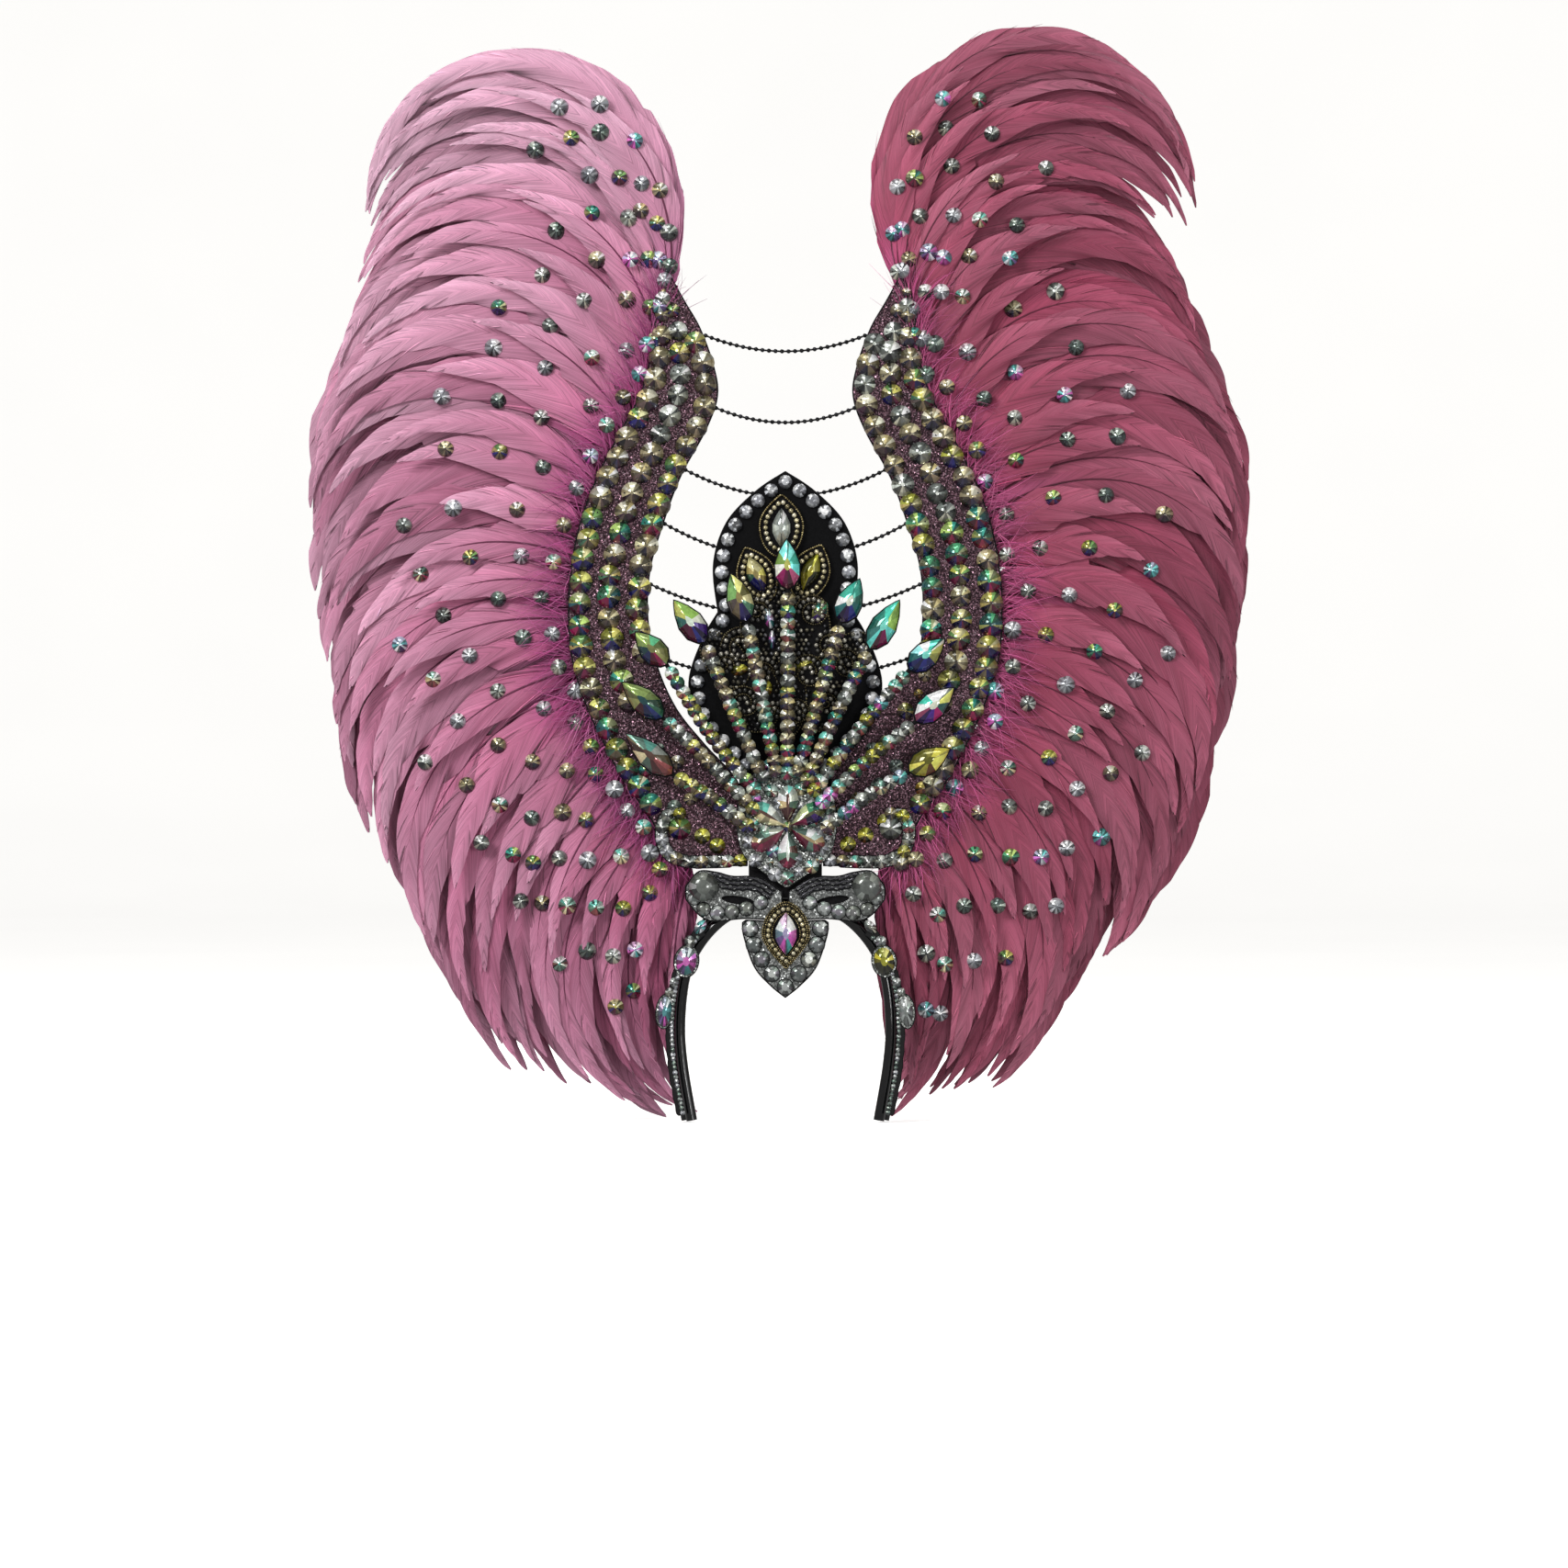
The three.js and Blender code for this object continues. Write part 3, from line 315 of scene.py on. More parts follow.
class Cutter:
    """Models each small shape once, so that the piles can copy it."""

    def __init__(self) -> None:
        """Cut the shapes that the headdress repeats."""
        self.round = self._cut(16, 0.16, 0.3)
        self.small = self._cut(10, 0.22, 0.3)
        self.strung = self._cut(12, 0.2, 0.34)
        self.stud = self._cut(12, 0.5, 0.4)
        self.oval = self._cut(16, 0.34, 0.3)
        self.marquise = self._cut(14, 0.3, 0.3, self._marquise)
        self.drop = self._cut(12, 0.26, 0.28, self._drop)
        self.pear = self._cut(14, 0.16, 0.3, self._pear, 0.62)
        self.hole = self._cut(6, 0.9, 0.9)
        self.bead = self._ball(10, 6)
        self.seed = self._ball(7, 4)

    @staticmethod
    def _marquise(y: float) -> float:
        """Half width of a stone pointed at both ends, at a height from -1 to 1."""
        return max(1 - abs(y) ** 1.75, 0.0)

    @staticmethod
    def _drop(y: float) -> float:
        """Half width of a long stone, pointed above and blunter below."""
        return math.sin(math.pi * ((y + 1) / 2) ** 0.74) ** 0.86

    @staticmethod
    def _pear(y: float) -> float:
        """Half width of a stone that is pointed below and round above.

        Args:
            y: Height from -1 to 1.

        Returns:
            The half width.
        """
        along = (y + 1) / 2
        shoulder = 0.64
        if along > shoulder:
            return math.sqrt(max(1 - ((along - shoulder) / (1 - shoulder)) ** 2, 0.0))
        return math.sin(along / shoulder * math.pi / 2) ** 1.1

    @staticmethod
    def _read(piece: Object) -> Shape:
        """Read a modelled piece as a unit shape and remove it.

        Args:
            piece: The modelled object.

        Returns:
            Its shape, with the normal of each triangle's face.
        """
        mesh = piece.data
        mesh.calc_loop_triangles()
        points = np.array([vertex.co for vertex in mesh.vertices], float)
        faces = np.array([triangle.vertices for triangle in mesh.loop_triangles], int)
        owners = [triangle.polygon_index for triangle in mesh.loop_triangles]
        facing = np.array([mesh.polygons[owner].normal for owner in owners], float)
        bpy.data.objects.remove(piece)
        bpy.data.meshes.remove(mesh)
        return Shape(points, faces, facing)

    def _cut(
        self, facets: int, table: float, girdle: float,
        rim: Callable[[float], float] | None = None, stretch: float | None = None,
    ) -> Shape:
        """Cut a stone: a girdle, a ring of crown facets and a table, all of unit size.

        Args:
            facets: Number of crown facets.
            table: Table size, as a share of the rim's.
            girdle: Height of the girdle.
            rim: Half width at each height, where the stone isn't round.
            stretch: Length of the table, where it isn't its width.

        Returns:
            The stone, seated at height 0.
        """
        piece = Bench.start(
            bpy.ops.mesh.primitive_cylinder_add,
            vertices=facets, radius=1, depth=girdle, location=(0, 0, girdle / 2),
        )
        bpy.ops.object.transform_apply(location=True, rotation=True, scale=True)
        for vertex in piece.data.vertices if rim else ():
            half = math.copysign(rim(vertex.co.y), vertex.co.x)
            vertex.co.x = half if abs(vertex.co.x) > 1e-6 else 0.0
        bpy.context.tool_settings.mesh_select_mode = (False, False, True)
        for part in (piece.data.vertices, piece.data.edges):
            part.foreach_set("select", [False] * len(part))
        for polygon in piece.data.polygons:
            polygon.select = polygon.center.z > girdle * 0.9
        Bench.edit(
            lambda: bpy.ops.mesh.extrude_region_move(
                TRANSFORM_OT_translate={"value": (0, 0, 1 - girdle)}
            ),
            lambda: bpy.ops.transform.resize(value=(table, stretch or table, 1)),
        )
        return self._read(piece)

    def _ball(self, segments: int, rings: int) -> Shape:
        """Model a small round bead of unit radius.

        Args:
            segments: Sides round its axis.
            rings: Rings from pole to pole.

        Returns:
            The bead, centred on its own middle.
        """
        piece = Bench.start(
            bpy.ops.mesh.primitive_uv_sphere_add, segments=segments, ring_count=rings, radius=1
        )
        Bench.edit(
            lambda: bpy.ops.mesh.select_all(action="SELECT"),
            lambda: bpy.ops.transform.resize(value=(1, 1, 0.94)),
        )
        return self._read(piece)


class Pile:
    """Small shapes gathered into one joined mesh, with a colour at every corner."""

    def __init__(self, seed: int = 1) -> None:
        """Start an empty pile.

        Args:
            seed: Seed of its own random choices.
        """
        self.rng = np.random.default_rng(seed)
        self._shapes: list[tuple[Array, Array, Array, Array]] = []
        self._count = 0

    def add(self, points: Array, faces: Array, tints: Array, flow: Array | None = None) -> None:
        """Add a shape.

        Args:
            points: Its points in front-drawing millimetres.
            faces: Its triangles.
            tints: A linear colour for each corner, triangle by triangle.
            flow: Pattern coordinates of each point, in metres.
        """
        tints = np.broadcast_to(tints, (len(faces), 3, 3))
        flow = np.zeros((len(points), 2)) if flow is None else flow
        self._shapes.append((points, faces + self._count, tints, flow))
        self._count += len(points)

    def add_copies(
        self, shape: Shape, centres: Array, sizes: Array, tints: Array, turns: Array | float = 0.0,
        tilt: float = 0.0,
    ) -> None:
        """Add copies of a unit shape.

        Args:
            shape: The unit shape.
            centres: Their seats.
            sizes: Half width, half length and height of each.
            tints: A linear colour for each triangle.
            turns: Their turns in the front plane, in radians.
            tilt: Greatest random lean, in radians.
        """
        centres = np.atleast_2d(np.asarray(centres, float))
        count = len(centres)
        sizes = np.broadcast_to(np.asarray(sizes, float), (count, 3))
        turns = np.broadcast_to(np.asarray(turns, float), (count,))
        leans = self.rng.uniform(-tilt, tilt, (count, 2))
        points = shape.points[None] * sizes[:, None]
        cosine, sine = np.cos(turns)[:, None], np.sin(turns)[:, None]
        x = points[..., 0] * cosine - points[..., 1] * sine
        y = points[..., 0] * sine + points[..., 1] * cosine
        z = points[..., 2] + x * leans[:, :1] + y * leans[:, 1:]
        placed = np.stack([x, y, z], -1) + centres[:, None]
        offsets = np.arange(count)[:, None, None] * len(shape.points)
        faces = shape.faces[None] + offsets
        corner = np.repeat(np.broadcast_to(tints, (count, len(shape.faces), 3)), 3, axis=1)
        self.add(placed.reshape(-1, 3), faces.reshape(-1, 3), corner.reshape(-1, 3, 3))

    def add_stones(
        self, shape: Shape, centres: Array, sizes: Array, moods: Sequence[Mood], turns: Array | float = 0.0,
        tilt: float = 0.06,
    ) -> None:
        """Add cut stones whose facets take the colours of their moods.

        Args:
            shape: The unit stone.
            centres: Their seats.
            sizes: Half width, half length and height.
            moods: Moods that they draw from.
            turns: Their turns in the front plane.
            tilt: Greatest random lean.
        """
        centres = np.atleast_2d(np.asarray(centres, float))
        turns = np.broadcast_to(np.asarray(turns, float), (len(centres),))
        tints = np.stack([self._facets(shape, self._draw(moods), turn) for turn in turns])
        self.add_copies(shape, centres, sizes, tints, turns, tilt)

    def _draw(self, moods: Sequence[Mood]) -> Mood:
        """Pick one of the moods at random."""
        return moods[int(self.rng.integers(len(moods)))]

    def _facets(self, shape: Shape, mood: Mood, turn: float) -> Array:
        """Paint a stone's facets with glints and reflections: broad wedges of one hue, each facet lighter or
        darker.

        Args:
            shape: The unit stone.
            mood: Its mood.
            turn: Its turn in the front plane.

        Returns:
            A linear colour for each triangle.
        """
        glints = mood.value
        angle = np.arctan2(shape.facing[:, 1], shape.facing[:, 0]) + turn
        up = np.sin(angle)
        wedge = np.floor((angle / (2 * math.pi) * 8) % 8).astype(int)
        picks = self.rng.integers(0, 4, 8)
        # Painted glints: each facet gets its own brightness, and every other one is painted darker.
        lights = self.rng.uniform(0.95, 1.42, 16)
        dull = np.arange(16) % 2 == int(self.rng.integers(2))
        lights[dull] *= self.rng.uniform(0.42, 0.82, int(dull.sum()))
        facet = np.round((angle % (2 * math.pi)) / (2 * math.pi) * 16).astype(int) % 16
        tints = np.zeros((len(shape.faces), 3))
        for row in range(len(shape.faces)):
            if shape.facing[row, 2] > 0.93 and mood is not Mood.STEEL:
                choices = glints.side + glints.upper
                tints[row] = choices[int(picks[0] + picks[1])]
                continue
            # Painted light: facets that face up take the bright upper colours, those that face down the dark
            # lower ones.
            level = up[row] + 0.25 * math.sin(picks[2] * 1.7)
            choices = glints.upper if level > 0.3 else glints.lower if level < -0.45 else glints.side
            tints[row] = np.asarray(choices[picks[wedge[row]] % len(choices)]) * lights[facet[row]]
        return linear(tints)

    def add_beads(
        self, shape: Shape, centres: Array, radius: float | Array, colours: Sequence[Rgb],
        spread: float = 0.12,
    ) -> None:
        """Add round beads in colours drawn from a list.

        Args:
            shape: The unit bead.
            centres: Their middles.
            radius: One radius, or one for each bead.
            colours: Screen colours to draw from.
            spread: How much the brightness varies.
        """
        centres = np.atleast_2d(np.asarray(centres, float))
        picked = np.asarray(colours, float)[self.rng.integers(0, len(colours), len(centres))]
        light = self.rng.uniform(1 - spread, 1 + spread, (len(centres), 1))
        tints = linear(picked * light)[:, None, :]
        sizes = np.repeat(np.broadcast_to(radius, (len(centres),))[:, None], 3, axis=1)
        self.add_copies(shape, centres, sizes, tints, self.rng.uniform(0, 6, len(centres)), 0)

    def add_tube(self, line: Array, radius: Array | float, sides: int, tint: Array) -> None:
        """Add a closed round tube along a line.

        Args:
            line: Points in front-drawing millimetres.
            radius: One radius, or one for each point.
            sides: Sides of the tube.
            tint: A linear colour, or one for each point.
        """
        count = len(line)
        along = np.gradient(line, axis=0)
        along /= np.maximum(np.linalg.norm(along, axis=1, keepdims=True), 1e-9)
        across = np.cross(along, np.array([0.0, 0.0, 1.0]))
        across /= np.maximum(np.linalg.norm(across, axis=1, keepdims=True), 1e-9)
        front = np.cross(across, along)
        angles = np.arange(sides) / sides * 2 * math.pi
        radii = np.broadcast_to(radius, (count,))[:, None, None]
        rings = line[:, None] + radii * (
            np.cos(angles)[None, :, None] * across[:, None]
            + np.sin(angles)[None, :, None] * front[:, None]
        )
        points = np.vstack([rings.reshape(-1, 3), line[:1], line[-1:]])
        ring, side = np.meshgrid(np.arange(count - 1), np.arange(sides), indexing="ij")
        a = (ring * sides + side).ravel()
        b = (ring * sides + (side + 1) % sides).ravel()
        walls = np.vstack([np.stack([a, a + sides, b], 1), np.stack([b, a + sides, b + sides], 1)])
        turn = np.arange(sides)
        nose = np.stack([np.full(sides, count * sides), turn, (turn + 1) % sides], 1)
        last = (count - 1) * sides
        tail = np.stack([np.full(sides, count * sides + 1), last + (turn + 1) % sides, last + turn], 1)
        faces = np.vstack([walls, nose, tail])
        colours = np.broadcast_to(tint, (count, 3))
        colours = np.vstack([np.repeat(colours, sides, axis=0), colours[:1], colours[-1:]])
        self.add(points, faces, colours[faces])

    def gather(self) -> tuple[Array, Array, Array, Array]:
        """All points in metres, triangles, corner colours and pattern coordinates."""
        points, faces, tints, flows = (np.concatenate(rows) for rows in zip(*self._shapes))
        return to_world(points), faces, tints, flows

    def build(self, material: Material, smooth: bool = False) -> Object:
        """Make the joined mesh.

        Args:
            material: Its material.
            smooth: Whether its faces are shaded smooth.

        Returns:
            The object, at the origin.
        """
        points, faces, tints, flows = self.gather()
        mesh = bpy.data.meshes.new("pile")
        mesh.vertices.add(len(points))
        mesh.vertices.foreach_set("co", points.astype(np.float32).ravel())
        mesh.loops.add(len(faces) * 3)
        mesh.loops.foreach_set("vertex_index", faces.astype(np.int32).ravel())
        mesh.polygons.add(len(faces))
        mesh.polygons.foreach_set("loop_start", np.arange(0, len(faces) * 3, 3, dtype=np.int32))
        mesh.update(calc_edges=True)
        tint = mesh.color_attributes.new("tint", "FLOAT_COLOR", "CORNER")
        corners = tints.reshape(-1, 3)
        tint.data.foreach_set("color", np.hstack([corners, np.ones((len(corners), 1))]).ravel())
        flow = mesh.uv_layers.new(name="flow")
        flow.data.foreach_set("uv", flows[faces.ravel()].ravel())
        mesh.polygons.foreach_set("use_smooth", np.full(len(faces), smooth))
        mesh.set_sharp_from_angle(angle=SHEET_EDGE)
        mesh.materials.append(material)
        piece = bpy.data.objects.new("pile", mesh)
        bpy.context.scene.collection.objects.link(piece)
        return piece


# Finishes.
class Palette:
    """A material under way, with the node building that the finishes share."""

    def __init__(self, name: str) -> None:
        """Start a material of the given name."""
        self.material = bpy.data.materials.new(name)
        self.material.use_nodes = True
        self.tree = self.material.node_tree

    def feed(self, socket: NodeSocket, value: object) -> None:
        """Link an input to an output, or set its value."""
        if isinstance(value, NodeSocket):
            self.tree.links.new(value, socket)
        else:
            socket.default_value = value

    def node(self, kind: str, inputs: dict[str | int, object] | None = None, **settings: object) -> Node:
        """Add a node, set its properties and feed its inputs.

        Args:
            kind: The node's type.
            inputs: A value or an output for each input, by name or number.
            settings: The node's own properties.

        Returns:
            The node.
        """
        added = self.tree.nodes.new(kind)
        for key, value in settings.items():
            setattr(added, key, value)
        for socket, value in (inputs or {}).items():
            self.feed(added.inputs[socket], value)
        return added

    def finish(self, **values: object) -> Material:
        """Feed the shader's own sockets, named with underscores for spaces, and give the material."""
        for key, value in values.items():
            self.feed(self.tree.nodes["Principled BSDF"].inputs[key.replace("_", " ")], value)
        return self.material

    def tint(self) -> NodeSocket:
        """The colour that the mesh carries at its corners."""
        return self.node("ShaderNodeVertexColor", layer_name="tint").outputs["Color"]

    def placed(self, scale: float | Sequence[float], flow: bool = False) -> NodeSocket:
        """Pattern coordinates, scaled.

        Args:
            scale: Repeats for each metre, on every axis or on each.
            flow: Whether they follow the piece's own pattern map and not its place.

        Returns:
            The mapped vector.
        """
        if flow:
            source = self.node("ShaderNodeUVMap", uv_map="flow").outputs["UV"]
        else:
            source = self.node("ShaderNodeTexCoord").outputs["Object"]
        inputs = {"Vector": source, "Scale": tuple(np.broadcast_to(scale, 3))}
        return self.node("ShaderNodeMapping", inputs).outputs["Vector"]

    def noise(
        self, scale: float | Sequence[float], detail: float, rough: float, flow: bool = False
    ) -> NodeSocket:
        """A noise value over pattern coordinates of the given scale."""
        inputs = {"Vector": self.placed(scale, flow), "Scale": 1.0, "Detail": detail, "Roughness": rough}
        return self.node("ShaderNodeTexNoise", inputs).outputs["Fac"]

    def spread(
        self, value: NodeSocket, low: float, high: float, start: float = 0.3, end: float = 0.7
    ) -> NodeSocket:
        """Map values from start to end to the range from low to high."""
        inputs = {"Value": value, "From Min": start, "From Max": end, "To Min": low, "To Max": high}
        return self.node("ShaderNodeMapRange", inputs).outputs["Result"]

    def times(self, colour: NodeSocket, factor: NodeSocket) -> NodeSocket:
        """Lighten or darken a colour by a value."""
        inputs = {0: colour, "Scale": factor}
        return self.node("ShaderNodeVectorMath", inputs, operation="SCALE").outputs["Vector"]

    def blend(self, factor: NodeSocket, first: Rgb | NodeSocket, second: Rgb) -> NodeSocket:
        """Mix two screen colours, the first of which may come from a node, by a value."""
        start = first if isinstance(first, NodeSocket) else (*linear(first), 1)
        inputs = {"Factor": factor, "A": start, "B": (*linear(second), 1)}
        return self.node("ShaderNodeMix", inputs, data_type="RGBA").outputs["Result"]

    def bump(self, height: NodeSocket, strength: float, distance: float) -> NodeSocket:
        """A normal raised by a height value, over a distance in metres."""
        inputs = {"Height": height, "Strength": strength, "Distance": distance}
        return self.node("ShaderNodeBump", inputs).outputs["Normal"]


@dataclass(frozen=True)
class PlumageFinish:
    """Dyed feather vanes: silky, with fine barbs that run along the pattern map and painted shade in thin
    partings between them.
    """

    barb: float = 0.0012
    clump: float = 0.007
    parting: float = 0.0032

    def material(self) -> Material:
        """Make the material."""
        mix = Palette("dyed_plumage")
        fine = mix.noise((1 / self.barb, 26, 1), 3, 0.65, flow=True)
        broad = mix.noise((1 / self.clump, 9, 1), 2, 0.5, flow=True)
        parting = mix.noise((1 / self.parting, 12, 1), 3, 0.6, flow=True)
        patch = mix.noise(22, 2, 0.5)
        colour = mix.times(mix.tint(), mix.spread(fine, 0.68, 1.3))
        colour = mix.times(colour, mix.spread(broad, 0.88, 1.12))
        # Painted shade: thin dark partings between clumps of barbs.
        colour = mix.times(colour, mix.spread(parting, 0.6, 1.03, 0.32, 0.44))
        return mix.finish(
            Base_Color=mix.times(colour, mix.spread(patch, 0.9, 1.1)), Normal=mix.bump(fine, 0.5, 0.0007),
            Roughness=0.5, Specular_IOR_Level=0.3, Sheen_Weight=0.22, Sheen_Roughness=0.4,
            Sheen_Tint=(1.0, 0.86, 0.94, 1),
        )


@dataclass(frozen=True)
class StoneFinish:
    """Foiled glass: each facet's painted glint colour under a hard clear polish."""

    name: str = "foiled_glass"
    metal: float = 0.35
    gloss: float = 0.07

    def material(self) -> Material:
        """Make the material."""
        mix = Palette(self.name)
        cloud = mix.noise(420, 2, 0.6)
        return mix.finish(
            Base_Color=mix.times(mix.tint(), mix.spread(cloud, 0.8, 1.2)), Metallic=self.metal,
            Roughness=self.gloss, Coat_Weight=0.6, Coat_Roughness=0.02,
        )


@dataclass(frozen=True)
class BeadFinish:
    """Small metallic beads and wire in their own colours."""

    def material(self) -> Material:
        """Make the material."""
        mix = Palette("metal_beads")
        worn = mix.noise(700, 2, 0.6)
        colour = mix.times(mix.tint(), mix.spread(worn, 0.7, 1.15))
        return mix.finish(Base_Color=colour, Roughness=mix.spread(worn, 0.34, 0.2), Metallic=0.75)


@dataclass(frozen=True)
class GlitterFinish:
    """Glitter cloth: flakes that each face their own way over a coloured ground, a few of them painted pale
    as glints.
    """

    name: str
    ground: Rgb
    flake: Rgb
    painted_glint: Rgb
    flake_size: float = 0.0009

    def material(self) -> Material:
        """Make the material."""
        mix = Palette(self.name)
        inputs = {"Vector": mix.placed(1 / self.flake_size), "Scale": 1.0}
        cells = mix.node("ShaderNodeTexVoronoi", inputs).outputs["Color"]
        split = mix.node("ShaderNodeSeparateColor", {"Color": cells}).outputs
        ground = mix.blend(mix.spread(split["Red"], 0, 1, 0.45, 0.95), self.ground, self.flake)
        # Painted glints: a few flakes take the pale glint colour.
        colour = mix.blend(mix.spread(split["Green"], 0, 1, 0.8, 0.9), ground, self.painted_glint)
        normal = mix.node("ShaderNodeNewGeometry").outputs["Normal"]
        for operation, inputs in (
            ("MULTIPLY_ADD", {0: cells, 1: (0.7, 0.7, 0.7), 2: (-0.35, -0.35, -0.35)}),
            ("ADD", {1: normal}),
            ("NORMALIZE", {}),
        ):
            step = mix.node("ShaderNodeVectorMath", {0: cells, **inputs}, operation=operation)
            cells = step.outputs["Vector"]
        return mix.finish(Base_Color=colour, Normal=cells, Metallic=0.6, Roughness=0.3)


@dataclass(frozen=True)
class ClothFinish:
    """Black pile cloth or felt, with a soft nap."""

    name: str
    dark: Rgb
    light: Rgb
    nap: float
    sheen: float

    def material(self) -> Material:
        """Make the material."""
        mix = Palette(self.name)
        nap = mix.noise(1 / self.nap, 3, 0.6)
        return mix.finish(
            Base_Color=mix.blend(mix.spread(nap, 0, 1), self.dark, self.light),
            Normal=mix.bump(nap, 0.4, 0.0004), Roughness=0.9, Specular_IOR_Level=0.15,
            Sheen_Weight=self.sheen, Sheen_Roughness=0.35,
        )


@dataclass(frozen=True)
class PatentFinish:
    """Black patent: a hard shine with slight ripples and finger dulling."""

    def material(self) -> Material:
        """Make the material."""
        mix = Palette("black_patent")
        ripple = mix.noise(60, 2, 0.5)
        dull = mix.noise(150, 3, 0.6)
        return mix.finish(
            Base_Color=mix.blend(mix.spread(dull, 0, 1), (3, 3, 4), (9, 9, 11)),
            Roughness=mix.spread(dull, 0.05, 0.14), Normal=mix.bump(ripple, 0.08, 0.002),
            Specular_IOR_Level=0.35, Coat_Weight=0.3, Coat_Roughness=0.12,
        )


@dataclass(frozen=True)
class BackdropFinish:
    """Plain pale studio paper."""

    colour: Rgb = (250, 249, 247)

    def material(self) -> Material:
        """Make the material."""
        mix = Palette("studio_paper")
        grain = mix.noise(3, 2, 0.5)
        shade = tuple(value - 3 for value in self.colour)
        return mix.finish(
            Base_Color=mix.blend(mix.spread(grain, 0, 1), self.colour, shade), Roughness=0.9,
            Specular_IOR_Level=0.1, Emission_Color=(1, 0.995, 0.985, 1), Emission_Strength=0.52,
        )


class Kit(Cutter):
    """The cut shapes and the finishes of the headdress, each made once."""

    def __init__(self) -> None:
        """Make the materials and cut the shapes."""
        super().__init__()
        self.plumage = PlumageFinish().material()
        self.stone = StoneFinish().material()
        self.frosted = StoneFinish("frosted_glass", 0.25, 0.2).material()
        self.beads = BeadFinish().material()
        self.board, self.silver, self.grey = (finish.material() for finish in (
            GlitterFinish("plum_glitter", (40, 23, 30), (84, 55, 64), (158, 120, 136)),
            GlitterFinish("silver_glitter", (64, 66, 64), (132, 136, 132), (206, 210, 204)),
            GlitterFinish("grey_glitter", (92, 94, 93), (126, 128, 126), (166, 168, 166), 0.001),
        ))
        self.velvet = ClothFinish("black_velvet", (4, 4, 5), (12, 12, 14), 0.0012, 0.25).material()
        self.felt = ClothFinish("black_felt", (10, 10, 11), (24, 23, 25), 0.0016, 0.1).material()
        self.patent = PatentFinish().material()

    def plate(self, outline: Array, back: float, thick: float, rim: float, front: Material) -> Object:
        """Model a flat plate with a dark rim round its front, a felt back and softened edges.

        Args:
            outline: Outline points, anticlockwise as seen from the front.
            back: Depth of its back.
            thick: Its thickness.
            rim: Width of the rim.
            front: Material of the front.

        Returns:
            The plate.
        """
        circle = bpy.ops.mesh.primitive_circle_add
        piece = Bench.start(circle, vertices=len(outline), radius=1, fill_type="NGON")
        places = to_world(raised(outline, back))
        piece.data.vertices.foreach_set("co", places.astype(np.float32).ravel())
        piece.data.update()
        Bench.edit(
            lambda: bpy.ops.mesh.select_all(action="SELECT"),
            lambda: bpy.ops.mesh.extrude_region_move(TRANSFORM_OT_translate={"value": (0, -thick * MM, 0)}),
            lambda: bpy.ops.mesh.inset(thickness=rim * MM, use_even_offset=True),
            lambda: bpy.ops.mesh.select_all(action="SELECT"),
            lambda: bpy.ops.mesh.normals_make_consistent(inside=False),
        )
        face_level = -(back + thick) * MM
        for material in (front, self.felt):
            piece.data.materials.append(material)
        largest = max(
            (polygon for polygon in piece.data.polygons if abs(polygon.center.y - face_level) < 1e-6),
            key=lambda polygon: polygon.area,
        )
        for polygon in piece.data.polygons:
            polygon.material_index = 0 if polygon.index == largest.index else 1
        bevel = piece.modifiers.new("soft_edge", "BEVEL")
        bevel.width = min(0.5, thick / 4) * MM
        bevel.segments = 2
        bevel.limit_method = "ANGLE"
        bevel.angle_limit = math.radians(50)
        Bench.apply(piece)
        return piece


def deliver(name: str, parts: Sequence[Object], slot: str, *nodes: str) -> None:
    """Join the finished parts of a piece, hand it to the frame and report it.

    Args:
        name: The piece's name.
        parts: Its parts.
        slot: The record's material slot; not used.
        nodes: The solids that it stands for.
    """
    piece = Bench.join(name, parts)
    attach(piece, "root")
    if nodes:
        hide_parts(*nodes)
    triangles = sum(len(polygon.vertices) - 2 for polygon in piece.data.polygons)
    LOG.info("%s: %d triangles", piece.name, triangles)


# Outline tables, the same forms as the solids.
BOARD_ROWS = (
    # height, inner, outer
    (480, 86, 90), (462, 76, 98), (441, 64, 100), (413, 54, 104), (390, 51, 111),
    (364, 60, 125), (329, 79, 143), (294, 92, 156), (259, 102, 163), (224, 104, 165),
    (189, 98, 162), (154, 83, 151), (126, 61, 138), (98, 36, 123), (70, 28.5, 103),
    (50, 28.5, 92), (33, 28.5, 78),
)


# Heights at which the right board reaches further in than the left one, behind its rays.
RIGHT_INNER = {189: 99, 154: 73, 126: 51, 98: 30}


def board_edge(height: float | Array, column: int) -> Array:
    """Distance from the middle to the lyre board's inner edge, column 1, or outer edge, column 2."""
    rows = np.asarray(BOARD_ROWS[::-1], float)
    return np.interp(height, rows[:, 0], rows[:, column])


LOWER_STONES = {
    # x, y and radius of the stones set between the rays
    Side.LEFT: (
        (-100, 152, 5), (-109, 166, 4), (-66, 120, 4.6), (-82, 112, 5.4), (-96, 122, 4.6),
        (-58, 88, 4.4), (-72, 84, 5), (-84, 78, 5.6), (-106, 106, 5.2), (-46, 74, 4.2),
    ),
    Side.RIGHT: (
        (91, 151, 6.3), (106, 178, 5), (101, 164, 3.5), (66, 122, 5.2), (84, 109, 5.6),
        (71, 94.5, 6), (54.5, 84.5, 4.8), (41, 73, 4.4), (104, 92, 5.4), (76, 128, 4.4),
    ),
}


